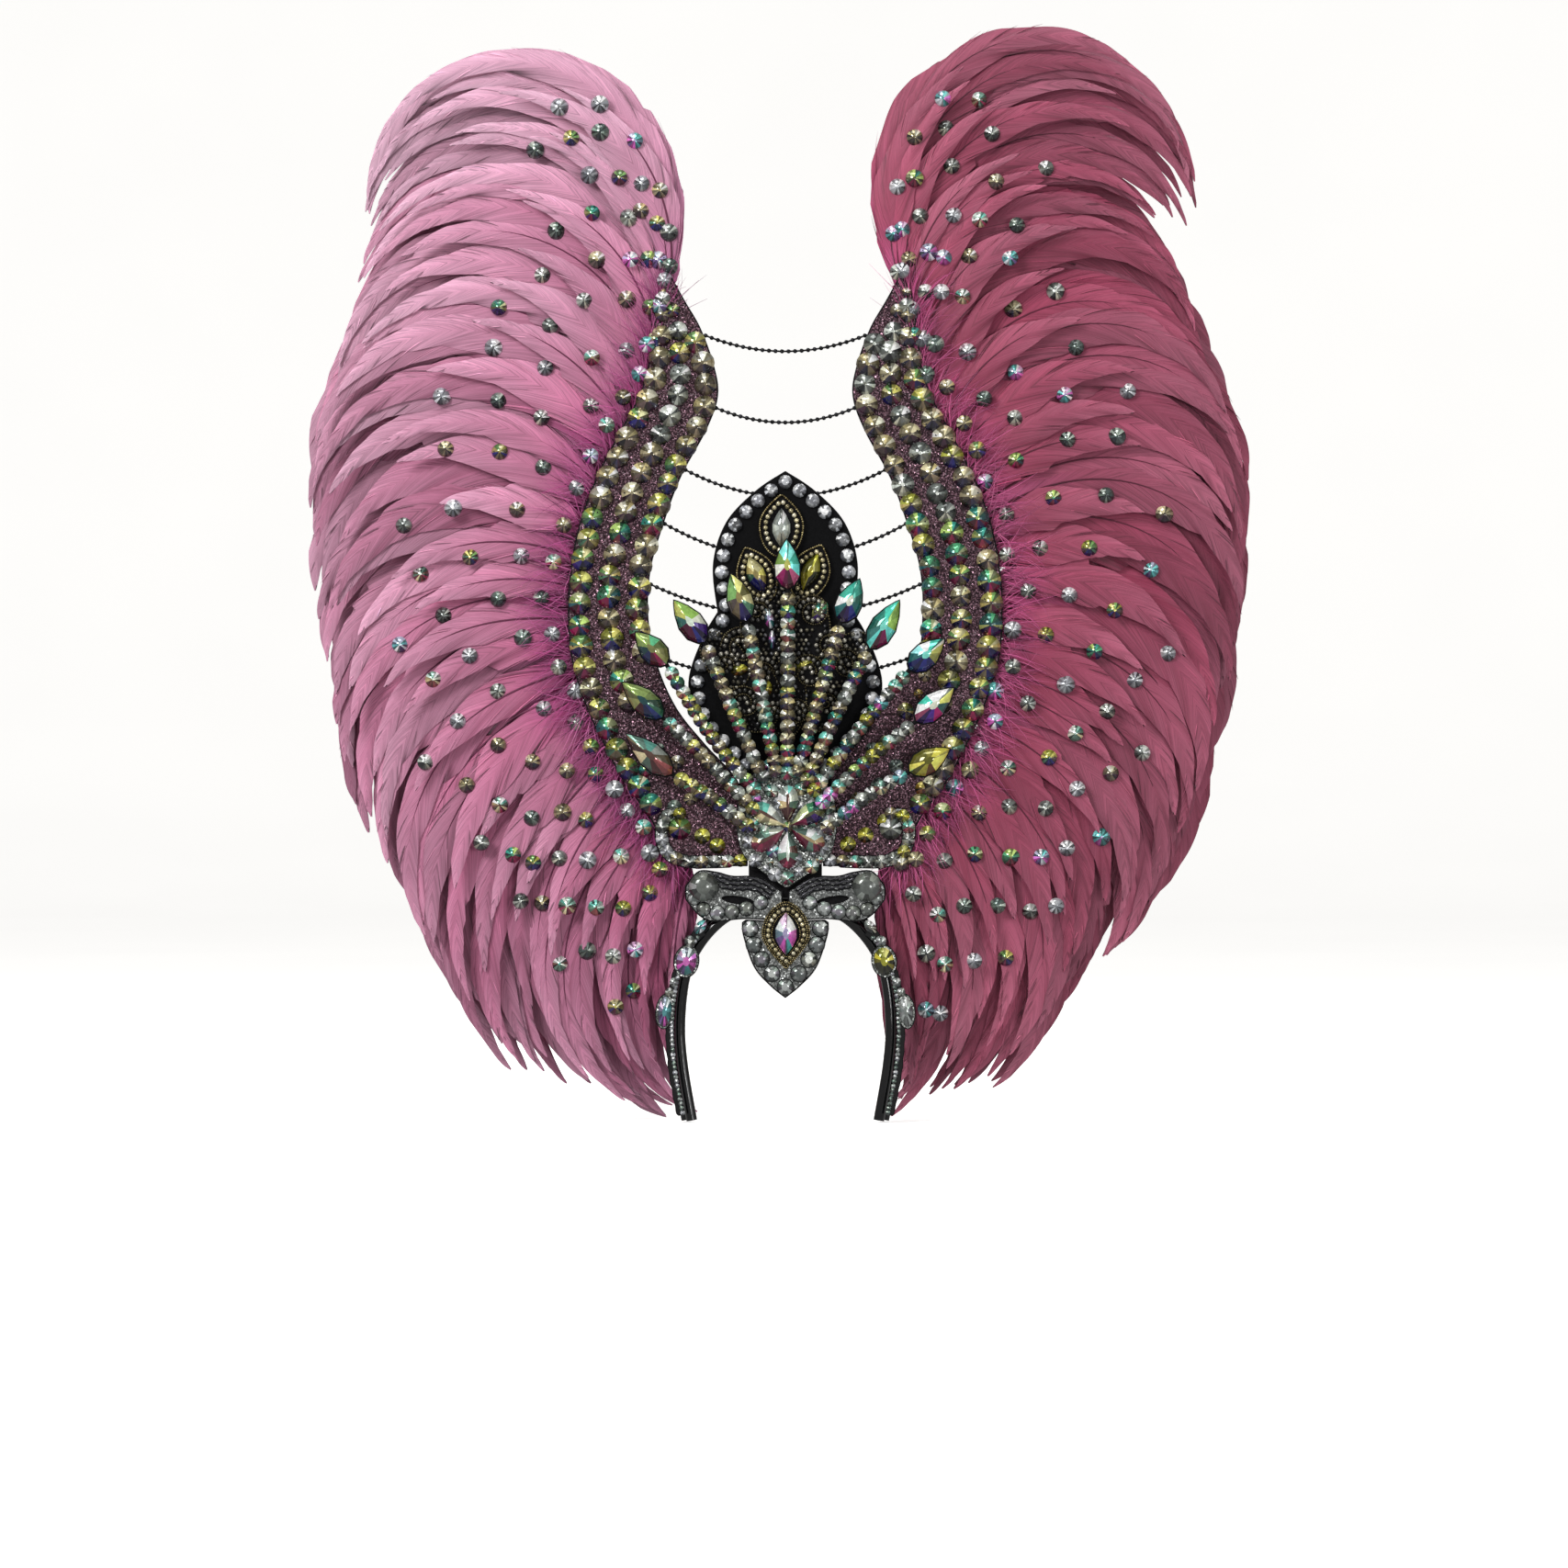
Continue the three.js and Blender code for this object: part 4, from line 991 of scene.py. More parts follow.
@dataclass
class WingBoard:
    """A lyre-shaped glitter board with its columns of sew-on stones."""

    side: Side
    thick: float = 3.0
    front: float = -0.3
    rim: float = 1.1
    stone_radius: float = 8.7
    stone_rise: float = 4.8
    stone_pitch: float = 16.7

    def outline(self) -> Array:
        """The board's outline, anticlockwise from the front."""
        rows = np.asarray(BOARD_ROWS, float)
        if self.side is Side.RIGHT:
            rows[:, 1] = [RIGHT_INNER.get(height, inner) for height, inner, _ in BOARD_ROWS]
        inner = smooth_line(rows[:, [1, 0]], 84)
        outer = smooth_line(rows[:, [2, 0]], 84)
        loop = np.vstack([inner, outer[::-1]])
        return loop if self.side is Side.RIGHT else (loop * (-1, 1))[::-1]

    def columns(self, rng: np.random.Generator) -> tuple[Array, Array]:
        """Places and radii of the three columns of large stones.

        Args:
            rng: Source of the slight unevenness of hand-set stones.

        Returns:
            Places and radii.
        """
        places: list[Array] = []
        radii: list[float] = []
        for column, top, bottom in ((0, 468, 80), (1, 455, 158), (2, 430, 196)):
            heights = np.linspace(top, bottom, 90)
            inner, outer = board_edge(heights, 1), board_edge(heights, 2)
            room = outer - inner
            rim = np.minimum(8.4, room * 0.19)
            x = (outer - rim, (inner + outer) / 2, inner + rim)[column]
            line = even_places(np.column_stack([x, heights]), self.stone_pitch)
            for spot in line:
                gap = float(board_edge(spot[1], 2) - board_edge(spot[1], 1))
                places.append(spot + rng.uniform(-0.7, 0.7, 2))
                radii.append(min(self.stone_radius * rng.uniform(0.92, 1.06), max(gap * 0.2, 3.6)))
        return np.array(places), np.array(radii)

    def build(self, kit: Kit) -> None:
        """Make the board and its stones."""
        plate = kit.plate(self.outline(), self.front - self.thick, self.thick, self.rim, kit.board)
        pile = Pile(11 + self.side.value)
        sign = self.side.value
        places, radii = self.columns(pile.rng)
        upper = places[:, 1] > 300
        for mask, moods in (
            (upper, (Mood.CHAMPAGNE, Mood.CHAMPAGNE, Mood.CHAMPAGNE, Mood.AURORA, Mood.CLEAR)),
            (~upper, (Mood.CHAMPAGNE, Mood.AURORA, Mood.AURORA, Mood.GARDEN, Mood.GARDEN)),
        ):
            self._set(pile, kit, places[mask] * (sign, 1), radii[mask], moods)
        rows = np.array(LOWER_STONES[self.side])
        self._set(
            pile, kit, rows[:, :2], rows[:, 2],
            (Mood.AMBER, Mood.AURORA, Mood.CHAMPAGNE, Mood.SMOKE, Mood.GARDEN),
        )
        wedge = np.array([(-63, 56), (-51.5, 48.5)] if self.side is Side.LEFT else [
            (47.6, 49.7), (60.9, 56.7), (75.6, 67),
        ])
        self._set(pile, kit, wedge, np.full(len(wedge), 6.0), (Mood.LEMON,))
        word = self.side.word
        deliver(f"board_{word}", [plate, pile.build(kit.stone)], "stone_board", f"wing_board_{word}")

    def _set(self, pile: Pile, kit: Kit, places: Array, radii: Array, moods: Sequence[Mood]) -> None:
        """Set round sew-on stones on the board's front.

        Args:
            pile: Where the stones are gathered.
            kit: Source of the shapes.
            places: Where they are set.
            radii: Their radii.
            moods: Moods that they draw from.
        """
        centres = raised(places, self.front)
        sizes = np.column_stack([radii, radii, radii * self.stone_rise / self.stone_radius])
        pile.add_stones(kit.round, centres, sizes, moods)
        pierce(pile, kit, centres, radii)


def pierce(pile: Pile, kit: Kit, centres: Array, radii: Array) -> None:
    """Add the two dark thread holes of each sew-on stone.

    Args:
        pile: Where the stones are.
        kit: Source of the shapes.
        centres: The stones' seats.
        radii: The stones' radii.
    """
    turn = pile.rng.uniform(-0.9, 0.9, len(centres))
    for way in (-1, 1):
        reach = radii * 0.7 * way
        holes = centres + np.column_stack([np.cos(turn) * reach, np.sin(turn) * reach, radii * 0.36])
        sizes = np.column_stack([radii * 0.08, radii * 0.08, np.full(len(radii), 0.35)])
        pile.add_copies(kit.hole, holes, sizes, linear((18, 16, 18)), 0.0)


def ring_stones(pile: Pile, kit: Kit, seats: Array, sizes: Array) -> None:
    """Add a dark ring just wider than each stone, from the stones' seats and sizes."""
    rims = sizes * (1, 1, 0.12) + (0.7, 0.7, 0)
    pile.add_copies(kit.stud, seats, rims, linear((26, 27, 28)), 0.0)


@dataclass
class CentrePanel:
    """The velvet leaf with its row of grey edge stones."""

    thick: float = 3.0
    stud_radius: float = 5.3
    stud_rise: float = 4.2
    stud_inset: float = 7.0
    stud_pitch: float = 12.3
    lobes: tuple[Rows, ...] = (
        ((0, 333), (22.5, 318), (45, 294), (55, 262), (51.5, 226)),
        ((51.5, 226), (63, 206), (73.5, 174), (68, 144), (52, 123), (35, 105)),
    )
    neck: Rows = ((35, 60), (28, 42), (26, 30))

    def right_half(self) -> Array:
        """The outline's right half, from the top point down."""
        upper = smooth_line(self.lobes[0], 30)
        lower = smooth_line(self.lobes[1], 34)[1:]
        return np.vstack([upper, lower, np.asarray(self.neck, float)])

    def build(self, kit: Kit) -> None:
        """Make the panel and its stones."""
        half = self.right_half()
        outline = np.vstack([half * (-1, 1), half[::-1]])
        outline = outline[np.r_[0:len(half), len(half):2 * len(half) - 1]]
        plate = kit.plate(outline, 0, self.thick, 0.8, kit.velvet)
        line = inset_line(half[:-3], -self.stud_inset)
        line = line[(line[:, 0] > 0) & (line[:, 1] < 326)]
        spots = even_places(np.vstack([(0, 324.5), line]), self.stud_pitch)
        both = np.vstack([spots, spots[1:] * (-1, 1)])
        pile = Pile(21)
        size = (self.stud_radius, self.stud_radius, self.stud_rise)
        turns = pile.rng.uniform(0, 1, len(both))
        pile.add_stones(kit.stud, raised(both, self.thick), size, (Mood.STEEL,), turns)
        deliver("panel", [plate, pile.build(kit.frosted)], "velvet", "centre_panel")


GOLD: tuple[Rgb, ...] = ((138, 124, 84), (168, 154, 112), (98, 86, 54))
DULL_GOLD: tuple[Rgb, ...] = ((96, 88, 64), (74, 66, 48), (122, 112, 84))
PALE_GOLD: tuple[Rgb, ...] = ((206, 196, 160), (176, 166, 130), (226, 218, 190), (140, 130, 98))
# Dark metal bead colours; the palest of them are painted highlights.
GUNMETAL: tuple[Rgb, ...] = (
    (72, 69, 61), (98, 94, 82), (44, 43, 43), (132, 127, 112), (80, 80, 82), (184, 180, 164),
    (52, 50, 48), (104, 104, 106),
)
SILVERED: tuple[Rgb, ...] = ((146, 142, 132), (104, 102, 96), (178, 174, 162), (78, 77, 74))
BEAD_PITCH = 2.15
JET: tuple[Rgb, ...] = ((26, 26, 28), (40, 40, 44), (20, 20, 22))


def leaf_line(centre: Spot, half: Spot, lean: float, point: float) -> Array:
    """Draw a leaf that is pointed above and rounded below.

    Args:
        centre: Its middle.
        half: Half width and half length.
        lean: Lean to the left, in degrees.
        point: How sharp its top is, 0 for an ellipse.

    Returns:
        Its outline, anticlockwise.
    """
    angle = np.linspace(0, 2 * math.pi, 48, endpoint=False)
    x, y = np.cos(angle), np.sin(angle)
    x = x * np.where(y > 0, 1 - point * y**2.2, 1.0)
    turn = math.radians(lean)
    wide, tall = x * half[0], y * half[1]
    return np.column_stack([
        centre[0] + wide * math.cos(turn) - tall * math.sin(turn),
        centre[1] + wide * math.sin(turn) + tall * math.cos(turn),
    ])


@dataclass
class Applique:
    """The gold beaded flower on the velvet, its scrollwork and its long stones."""

    back: float = 3.3
    base: float = 1.6
    sharp: float = 0.62
    blunt: float = 0.1
    pitch: float = 4.1
    navette: tuple[float, float, float] = (7.2, 15, 5)
    petals: Rows = (
        # x, y, half width, half length, lean
        (-3, 291, 16.5, 23.5, 0), (-22, 254, 14.5, 22, 22), (19, 256, 14.5, 22, -22),
    )
    leaves: Rows = (
        (0, 214, 34, 34, 0), (-46, 190, 15, 24, 38), (46, 190, 15, 24, -38),
        (-26, 164, 22, 30, 20), (26, 164, 22, 30, -20), (0, 160, 16, 30, 0),
    )
    volutes: Rows = (
        # x, y, radius, way round
        (-21, 226, 11, 1), (21, 226, 11, -1), (-33, 200, 13, -1), (33, 200, 13, 1),
        (-46, 186, 10, 1), (46, 186, 10, -1), (-18, 180, 12, 1), (18, 180, 12, -1),
        (-31, 157, 11, -1), (31, 157, 11, 1), (-9, 150, 8, 1), (9, 150, 8, -1),
    )
    ovals: Rows = (
        # x, y, half width, half length, lean
        (26.5, 226, 6, 9, -20), (-12.5, 221, 3.6, 8, 14), (-35, 182, 6.5, 4.4, 10),
        (-10, 205, 2.6, 7, 0), (14, 186, 7, 4, 24), (-14, 168, 4, 6, 0),
    )

    def _scatter(self, pile: Pile) -> Array:
        """Places of the seed beads: a jittered honeycomb that fills the leaves."""
        rows = []
        for index, y in enumerate(np.arange(130, 250, self.pitch * 0.87)):
            x = np.arange(-64, 64, self.pitch) + (index % 2) * self.pitch / 2
            rows.append(raised(x, y))
        spots = np.vstack(rows)
        spots += pile.rng.uniform(-0.5, 0.5, spots.shape)
        inside = np.zeros(len(spots), bool)
        for x, y, wide, tall, lean in self.leaves:
            turn = math.radians(lean)
            across = (spots[:, 0] - x) * math.cos(turn) + (spots[:, 1] - y) * math.sin(turn)
            up = (spots[:, 1] - y) * math.cos(turn) - (spots[:, 0] - x) * math.sin(turn)
            inside |= (across / (wide - 1.5)) ** 2 + (up / (tall - 1.5)) ** 2 < 1
        clear = [(x, y, wide + 1, tall + 1) for x, y, wide, tall, _ in self.ovals]
        clear += [(x, y, reach + 2, reach + 2) for x, y, reach, _ in self.volutes]
        for x, y, wide, tall in clear:
            inside &= ((spots[:, 0] - x) / wide) ** 2 + ((spots[:, 1] - y) / tall) ** 2 > 1
        return spots[inside]

    def _volute(self, x: float, y: float, radius: float, way: float) -> Array:
        """A scroll of one and a half turns."""
        turn = np.linspace(0, 3 * math.pi, 60)
        reach = radius * (1 - turn / (3 * math.pi) * 0.8)
        return np.column_stack([x + way * reach * np.cos(turn), y + reach * np.sin(turn)])

    def build(self, kit: Kit) -> None:
        """Make the base leaves, the beadwork and the long stones."""
        parts = []
        for index, (x, y, wide, tall, lean) in enumerate(self.petals + self.leaves):
            point = self.sharp if index < len(self.petals) else self.blunt
            line = leaf_line((x, y), (wide, tall), lean, point)
            parts.append(kit.plate(line, self.back, self.base + 0.15 * index, 0.5, kit.felt))
        top = self.back + self.base
        beads = Pile(31)
        for x, y, wide, tall, lean in self.petals:
            edge = leaf_line((x, y), (wide, tall), lean, self.sharp)
            loop = raised(np.vstack([edge, edge[:1]]), top + 0.9)
            beads.add_tube(loop, 0.5, 5, linear(GOLD[0]))
            beads.add_beads(kit.seed, raised(even_places(edge, 1.7, closed=True), top + 1.2), 0.85, GOLD)
            inner = leaf_line((x, y), (wide - 4.4, tall - 5.2), lean, 0.6)
            row = raised(even_places(inner, 4.3, closed=True), top + 1.8)
            beads.add_beads(kit.bead, row, 1.95, PALE_GOLD)
        seeds = self._scatter(beads)
        level = top + 1.3 + beads.rng.uniform(0, 0.5, len(seeds))
        radii = beads.rng.uniform(1.3, 2.1, len(seeds))
        beads.add_beads(kit.seed, raised(seeds, level), radii, GUNMETAL, 0.25)
        for volute in self.volutes:
            line = self._volute(*volute)
            for way, size, colours in ((0, 2.0, SILVERED), (2.9, 0.8, DULL_GOLD)):
                spots = even_places(inset_line(line, way), size * BEAD_PITCH)
                beads.add_beads(kit.seed, raised(spots, top + 2.4), size, colours)
        for x, y, wide, tall, lean in self.leaves:
            edge = even_places(leaf_line((x, y), (wide, tall), lean, self.blunt), 2.2, closed=True)
            beads.add_beads(kit.seed, raised(edge, top + 1.4), 0.9, DULL_GOLD)
        parts.append(beads.build(kit.beads, smooth=True))
        stones = Pile(32)
        moods = (Mood.ICE, Mood.LEMON, Mood.GARDEN)
        for x, y, wide, tall, lean in self.ovals:
            stones.add_stones(kit.oval, (x, y, top + 0.4), (wide, tall, 3.6), moods, math.radians(lean))
        parts.append(stones.build(kit.stone))
        deliver("beaded_flower", parts, "beadwork", "applique")
        for word, (x, y, _, _, lean), mood in zip(
            ("top", "left", "right"), self.petals, (Mood.CLEAR, Mood.AURORA, Mood.LEMON)
        ):
            pile = Pile(33 + len(word))
            seat = (x, y - (1.5 if word == "top" else 0), top + 0.3)
            pile.add_stones(kit.marquise, seat, self.navette, (mood,), math.radians(lean), 0)
            name = f"flower_navette_{word}"
            deliver(name, [pile.build(kit.stone)], "aurora_crystal", f"applique_stone_{word}")


@dataclass
class Ray:
    """A stalk strung with stones that ends in a long pointed stone."""

    index: int
    tip: Spot
    neck: Spot
    base: Spot
    bow: float
    mood: Mood
    base_depth: float = 10.4
    neck_depth: float = 16.0
    tip_depth: float = 20.0
    moods: tuple[Mood, ...] = (
        Mood.CHAMPAGNE, Mood.AURORA, Mood.CLEAR, Mood.GARDEN, Mood.CHAMPAGNE, Mood.AURORA, Mood.OPAL,
    )
    low_moods: tuple[Mood, ...] = (
        Mood.CLEAR, Mood.CLEAR, Mood.CHAMPAGNE, Mood.ICE, Mood.LEMON, Mood.GARDEN, Mood.OPAL,
    )

    def build(self, kit: Kit) -> None:
        """Make the stalk, its stones and the tip."""
        middle = (
            (self.neck[0] + self.base[0]) / 2, (self.neck[1] + self.base[1]) / 2 + self.bow,
            (self.neck_depth + self.base_depth) / 2 + 1.5,
        )
        line = smooth_line(((*self.base, self.base_depth), middle, (*self.neck, self.neck_depth)), 40)
        wire = Pile(40 + self.index)
        wire.add_tube(line, 1.7, 8, linear((26, 24, 26)))
        pile = Pile(60 + self.index)
        radius = 5.9 if self.index in (1, 6) else 5.6
        seats = even_places(line, radius * 1.5)[:-1] + (0, 0, 0.6)
        seats[:, 2] += np.where(np.arange(len(seats)) % 2 == 0, 0.5, -0.1)
        turns = pile.rng.uniform(0, 1.5, len(seats))
        moods = self.low_moods if self.index in (9, 10, 11) else self.moods
        pile.add_stones(kit.strung, seats, (radius, radius, 4.4), moods, turns, 0.16)
        along = np.array(self.tip) - np.array(self.neck)
        long = float(np.linalg.norm(along))
        turn = math.atan2(along[1], along[0]) - math.pi / 2
        centre = (np.array(self.tip) + np.array(self.neck)) / 2
        depth = (self.neck_depth + self.tip_depth) / 2
        setting = (10.8, long / 2 + 1.4, 1.9)
        wire.add_copies(kit.drop, (*centre, depth - 1.6), setting, linear((14, 13, 15)), turn)
        pile.add_stones(kit.drop, (*centre, depth - 0.1), (9.7, long / 2, 5.2), (self.mood,), turn, 0)
        parts = [wire.build(kit.felt, smooth=True), pile.build(kit.stone)]
        deliver(f"stone_ray_{self.index}", parts, "aurora_crystal", f"ray_{self.index}")


RAYS = (
    Ray(1, (-120, 133), (-86, 103), (-29, 64), 2, Mood.OPAL),
    Ray(2, (-123, 172), (-93, 146), (-25, 77), 2, Mood.GARDEN),
    Ray(3, (-113, 210), (-90, 186), (-24, 92), -6, Mood.GARDEN),
    Ray(4, (-84, 234), (-61, 203), (-17, 101), -3, Mood.PEACOCK),
    Ray(5, (-41, 254), (-29, 219), (-7, 105), 0, Mood.AURORA),
    Ray(6, (1, 280), (2, 243), (1.5, 104), 0, Mood.PEACOCK),
    Ray(7, (56, 250), (42, 218), (9.5, 105), 0, Mood.PEACOCK),
    Ray(8, (86, 234), (64, 198), (17, 99), 3, Mood.PEACOCK),
    Ray(9, (120, 205), (94, 182), (22, 91), 3, Mood.PEACOCK),
    Ray(10, (127, 168), (99, 143), (28, 82), 2, Mood.PEACOCK),
    Ray(11, (124, 122), (94, 105), (32, 63), 3, Mood.LEMON),
)


@dataclass
class Hub:
    """The stone-filled plate that the rays spring from, with its flower of six pears."""

    back: float = 3.3
    thick: float = 3.0
    centre: Spot = (2.0, 63.0)
    rows: Rows = ((12, 114), (25, 104), (36, 84), (38, 62), (34, 44), (24, 33), (1.5, 17))
    reach: float = 17.0
    petal: tuple[float, float, float] = (8.0, 14.6, 5.8)

    def build(self, kit: Kit) -> None:
        """Make the plate, its filling and the flower."""
        half = smooth_line(self.rows, 40)
        outline = np.vstack([half * (-1, 1), half[::-1]]) + (1, 0)
        plate = kit.plate(outline, self.back, self.thick, 0.6, kit.silver)
        front = self.back + self.thick
        pile = Pile(80)
        spots, radii = self._filling(pile)
        sizes = np.column_stack([radii, radii, radii * 0.7])
        moods = (Mood.CLEAR, Mood.STEEL, Mood.STEEL, Mood.OPAL, Mood.OPAL, Mood.ICE)
        pile.add_stones(kit.round, raised(spots, front), sizes, moods)
        deliver("hub", [plate, pile.build(kit.stone)], "silver_stones", "hub_plate")
        x, y = self.centre
        for index in range(6):
            angle = math.radians(index * 60 + 90)
            seat = (x + math.cos(angle) * self.reach, y + math.sin(angle) * self.reach, front + 0.9)
            petal = Pile(90 + index)
            mood = Mood.GARDEN if index == 5 else Mood.OPAL
            petal.add_stones(kit.pear, seat, self.petal, (mood,), angle - math.pi / 2, 0)
            name = f"pear_stone_{index + 1}"
            deliver(name, [petal.build(kit.stone)], "aurora_crystal", f"flower_stone_{index + 1}")
        eye = Pile(99)
        eye.add_stones(kit.round, (x, y, front + 1), (4.2, 4.2, 5.6), (Mood.AURORA,), 0.3, 0)
        deliver("flower_eye", [eye.build(kit.stone)], "aurora_crystal", "flower_centre")

    def _filling(self, pile: Pile) -> tuple[Array, Array]:
        """Places and radii of the small stones that fill the plate."""
        rows = np.asarray(self.rows, float)
        spots = []
        radii = []
        tries = pile.rng.uniform((-38, 18), (40, 113), (2600, 2))
        for index, (x, y) in enumerate(tries):
            radius = 5.2 if index < 1100 else 3.8 if index < 1900 else 2.5
            half = np.interp(y, rows[::-1, 1], rows[::-1, 0]) - radius * 0.8
            if abs(x - 1) > half:
                continue
            near = spots and np.min(
                np.hypot(np.array(spots)[:, 0] - x, np.array(spots)[:, 1] - y) - np.array(radii)
            ) < radius * 0.96
            if not near:
                spots.append((x, y))
                radii.append(radius)
        return np.array(spots), np.array(radii)


@dataclass
class UpperScroll:
    """A tendril of clear stones that curls under the board."""

    side: Side
    width: float = 10.0
    thick: float = 2.4
    line: Rows = ((34, 37.5), (54, 36.5), (75, 37), (89, 43), (94, 58), (90, 71), (80, 73))
    curl: tuple[float, float, float] = (80, 62, 8.7)

    def build(self, kit: Kit) -> None:
        """Make the band, its row of stones and the curl's large stone."""
        sign = self.side.value
        line = smooth_line(self.line, 50) * (sign, 1)
        taper = np.clip(np.minimum(np.arange(51), np.arange(51)[::-1]) / 4, 0.55, 1)[:, None]
        half = self.width / 2 * taper
        outline = np.vstack([inset_line(line, half), inset_line(line, -half)[::-1]])
        outline = outline[::-1] if sign > 0 else outline
        plate = kit.plate(outline, 0, self.thick, 0.8, kit.silver)
        pile = Pile(101 + sign)
        moods = (Mood.CLEAR, Mood.CHAMPAGNE, Mood.STEEL, Mood.OPAL, Mood.LEMON, Mood.CLEAR)
        pile.add_stones(kit.round, raised(even_places(line, 9.7), self.thick), (4.9, 4.9, 3.4), moods)
        x, y, radius = self.curl
        mood = Mood.AURORA if self.side is Side.LEFT else Mood.CLEAR
        pile.add_stones(kit.round, (x * sign, y, 0), (radius, radius, 6), (mood,), 0.2, 0.02)
        word = self.side.word
        deliver(f"tendril_{word}", [plate, pile.build(kit.stone)], "silver_stones", f"upper_scroll_{word}")


@dataclass
class LowerScroll:
    """A grey scroll over the brow, with its sunk slot, its stones and the large round one."""

    side: Side
    thick: float = 3.0
    top: Rows = ((2, 14), (20, 25), (40, 26), (52, 29), (66, 29.5), (76, 18))
    bottom: Rows = ((76, 8), (66, -4), (54, -9), (30, -7), (2, -9))
    slot: tuple[float, float, float, float, float] = (36, 7.4, 12.5, 3.2, 8)
    floor: float = 0.8
    stones: Rows = (
        (18.6, 5.5, 5.2), (29.5, 1.0, 5.4), (40.5, -1.6, 5.4), (51.5, -2.2, 5.4), (62, 0.5, 5.0),
        (69, 8.5, 4.6),
    )
    round_stone: tuple[float, float, float] = (62, 17.5, 11.2)

    def build(self, kit: Kit) -> None:
        """Make the plate, its row of stones and the large round stone."""
        sign = self.side.value
        top = smooth_line(self.top, 34)
        bottom = smooth_line(self.bottom, 30)
        outline = np.vstack([top, bottom])
        outline = outline[::-1] if sign > 0 else outline * (-1, 1)
        plate = kit.plate(outline, 0, self.thick, 1.1, kit.grey)
        self._sink(plate)
        pile = Pile(111 + sign)
        rows = np.asarray(self.stones, float) * (sign, 1, 1)
        seats = raised(rows[:, :2], self.thick)
        sizes = np.column_stack([rows[:, 2], rows[:, 2], np.full(len(rows), 2.2)])
        ring_stones(pile, kit, seats, sizes)
        pile.add_stones(kit.stud, seats, sizes, (Mood.MIST, Mood.MIST, Mood.FROST))
        word = self.side.word
        parts = [plate, pile.build(kit.frosted), self._cords(sign, kit)]
        deliver(f"brow_scroll_{word}", parts, "grey_glitter", f"lower_scroll_{word}")
        x, y, radius = self.round_stone
        dome = Pile(113 + sign)
        seat = (x * sign, y, self.thick + GAP)
        dome.add_stones(kit.stud, seat, (radius, radius, 6.4), (Mood.MIST,), 0.2, 0)
        deliver(f"brow_stone_{word}", [dome.build(kit.frosted)], "silver_stones", f"scroll_stone_{word}")

    def _cords(self, sign: int, kit: Kit) -> Object:
        """Lay the dark couched cords along the top edge."""
        pile = Pile(115 + sign)
        top = smooth_line(self.top, 34)
        top = top[(top[:, 0] < 56) & (top[:, 0] > 4)]
        for row in range(6):
            line = inset_line(top, -(1.9 + 1.75 * row))
            line = line[: len(line) - row]
            wave = np.sin(line[:, 0] * 0.8 + row * 2.1) * 0.55
            level = self.thick + 0.35 + 0.25 * np.sin(line[:, 0] * 1.1 + row)
            points = np.column_stack([line[:, 0] * sign, line[:, 1] + wave, level])
            # Every other cord is painted lighter, as painted highlight on the raised relief.
            shade = (30, 30, 33) if row % 2 else (86, 85, 90)
            pile.add_tube(points, 0.8, 6, linear(shade))
        return pile.build(kit.beads, smooth=True)

    def _sink(self, plate: Object) -> None:
        """Sink the slot into the plate's front, down to its thin dark floor."""
        x, y, long, tall, lean = self.slot
        tool = Bench.start(bpy.ops.mesh.primitive_cylinder_add, vertices=28, radius=1, depth=1)
        turn = math.radians(lean) * self.side.value
        for vertex in tool.data.vertices:
            across, up = vertex.co.x * long, vertex.co.y * tall
            vertex.co = to_world([[
                x * self.side.value + across * math.cos(turn) - up * math.sin(turn),
                y + across * math.sin(turn) + up * math.cos(turn),
                self.floor + (vertex.co.z + 0.5) * 2 * self.thick,
            ]])[0]
        Bench.edit(
            lambda: bpy.ops.mesh.select_all(action="SELECT"),
            lambda: bpy.ops.mesh.normals_make_consistent(inside=False),
        )
        for material in plate.data.materials:
            tool.data.materials.append(material)
        for polygon in tool.data.polygons:
            polygon.material_index = 1
        cut = plate.modifiers.new("slot", "BOOLEAN")
        cut.operation = "DIFFERENCE"
        cut.object = tool
        cut.solver = "EXACT"
        Bench.apply(plate)
        bpy.data.objects.remove(tool)


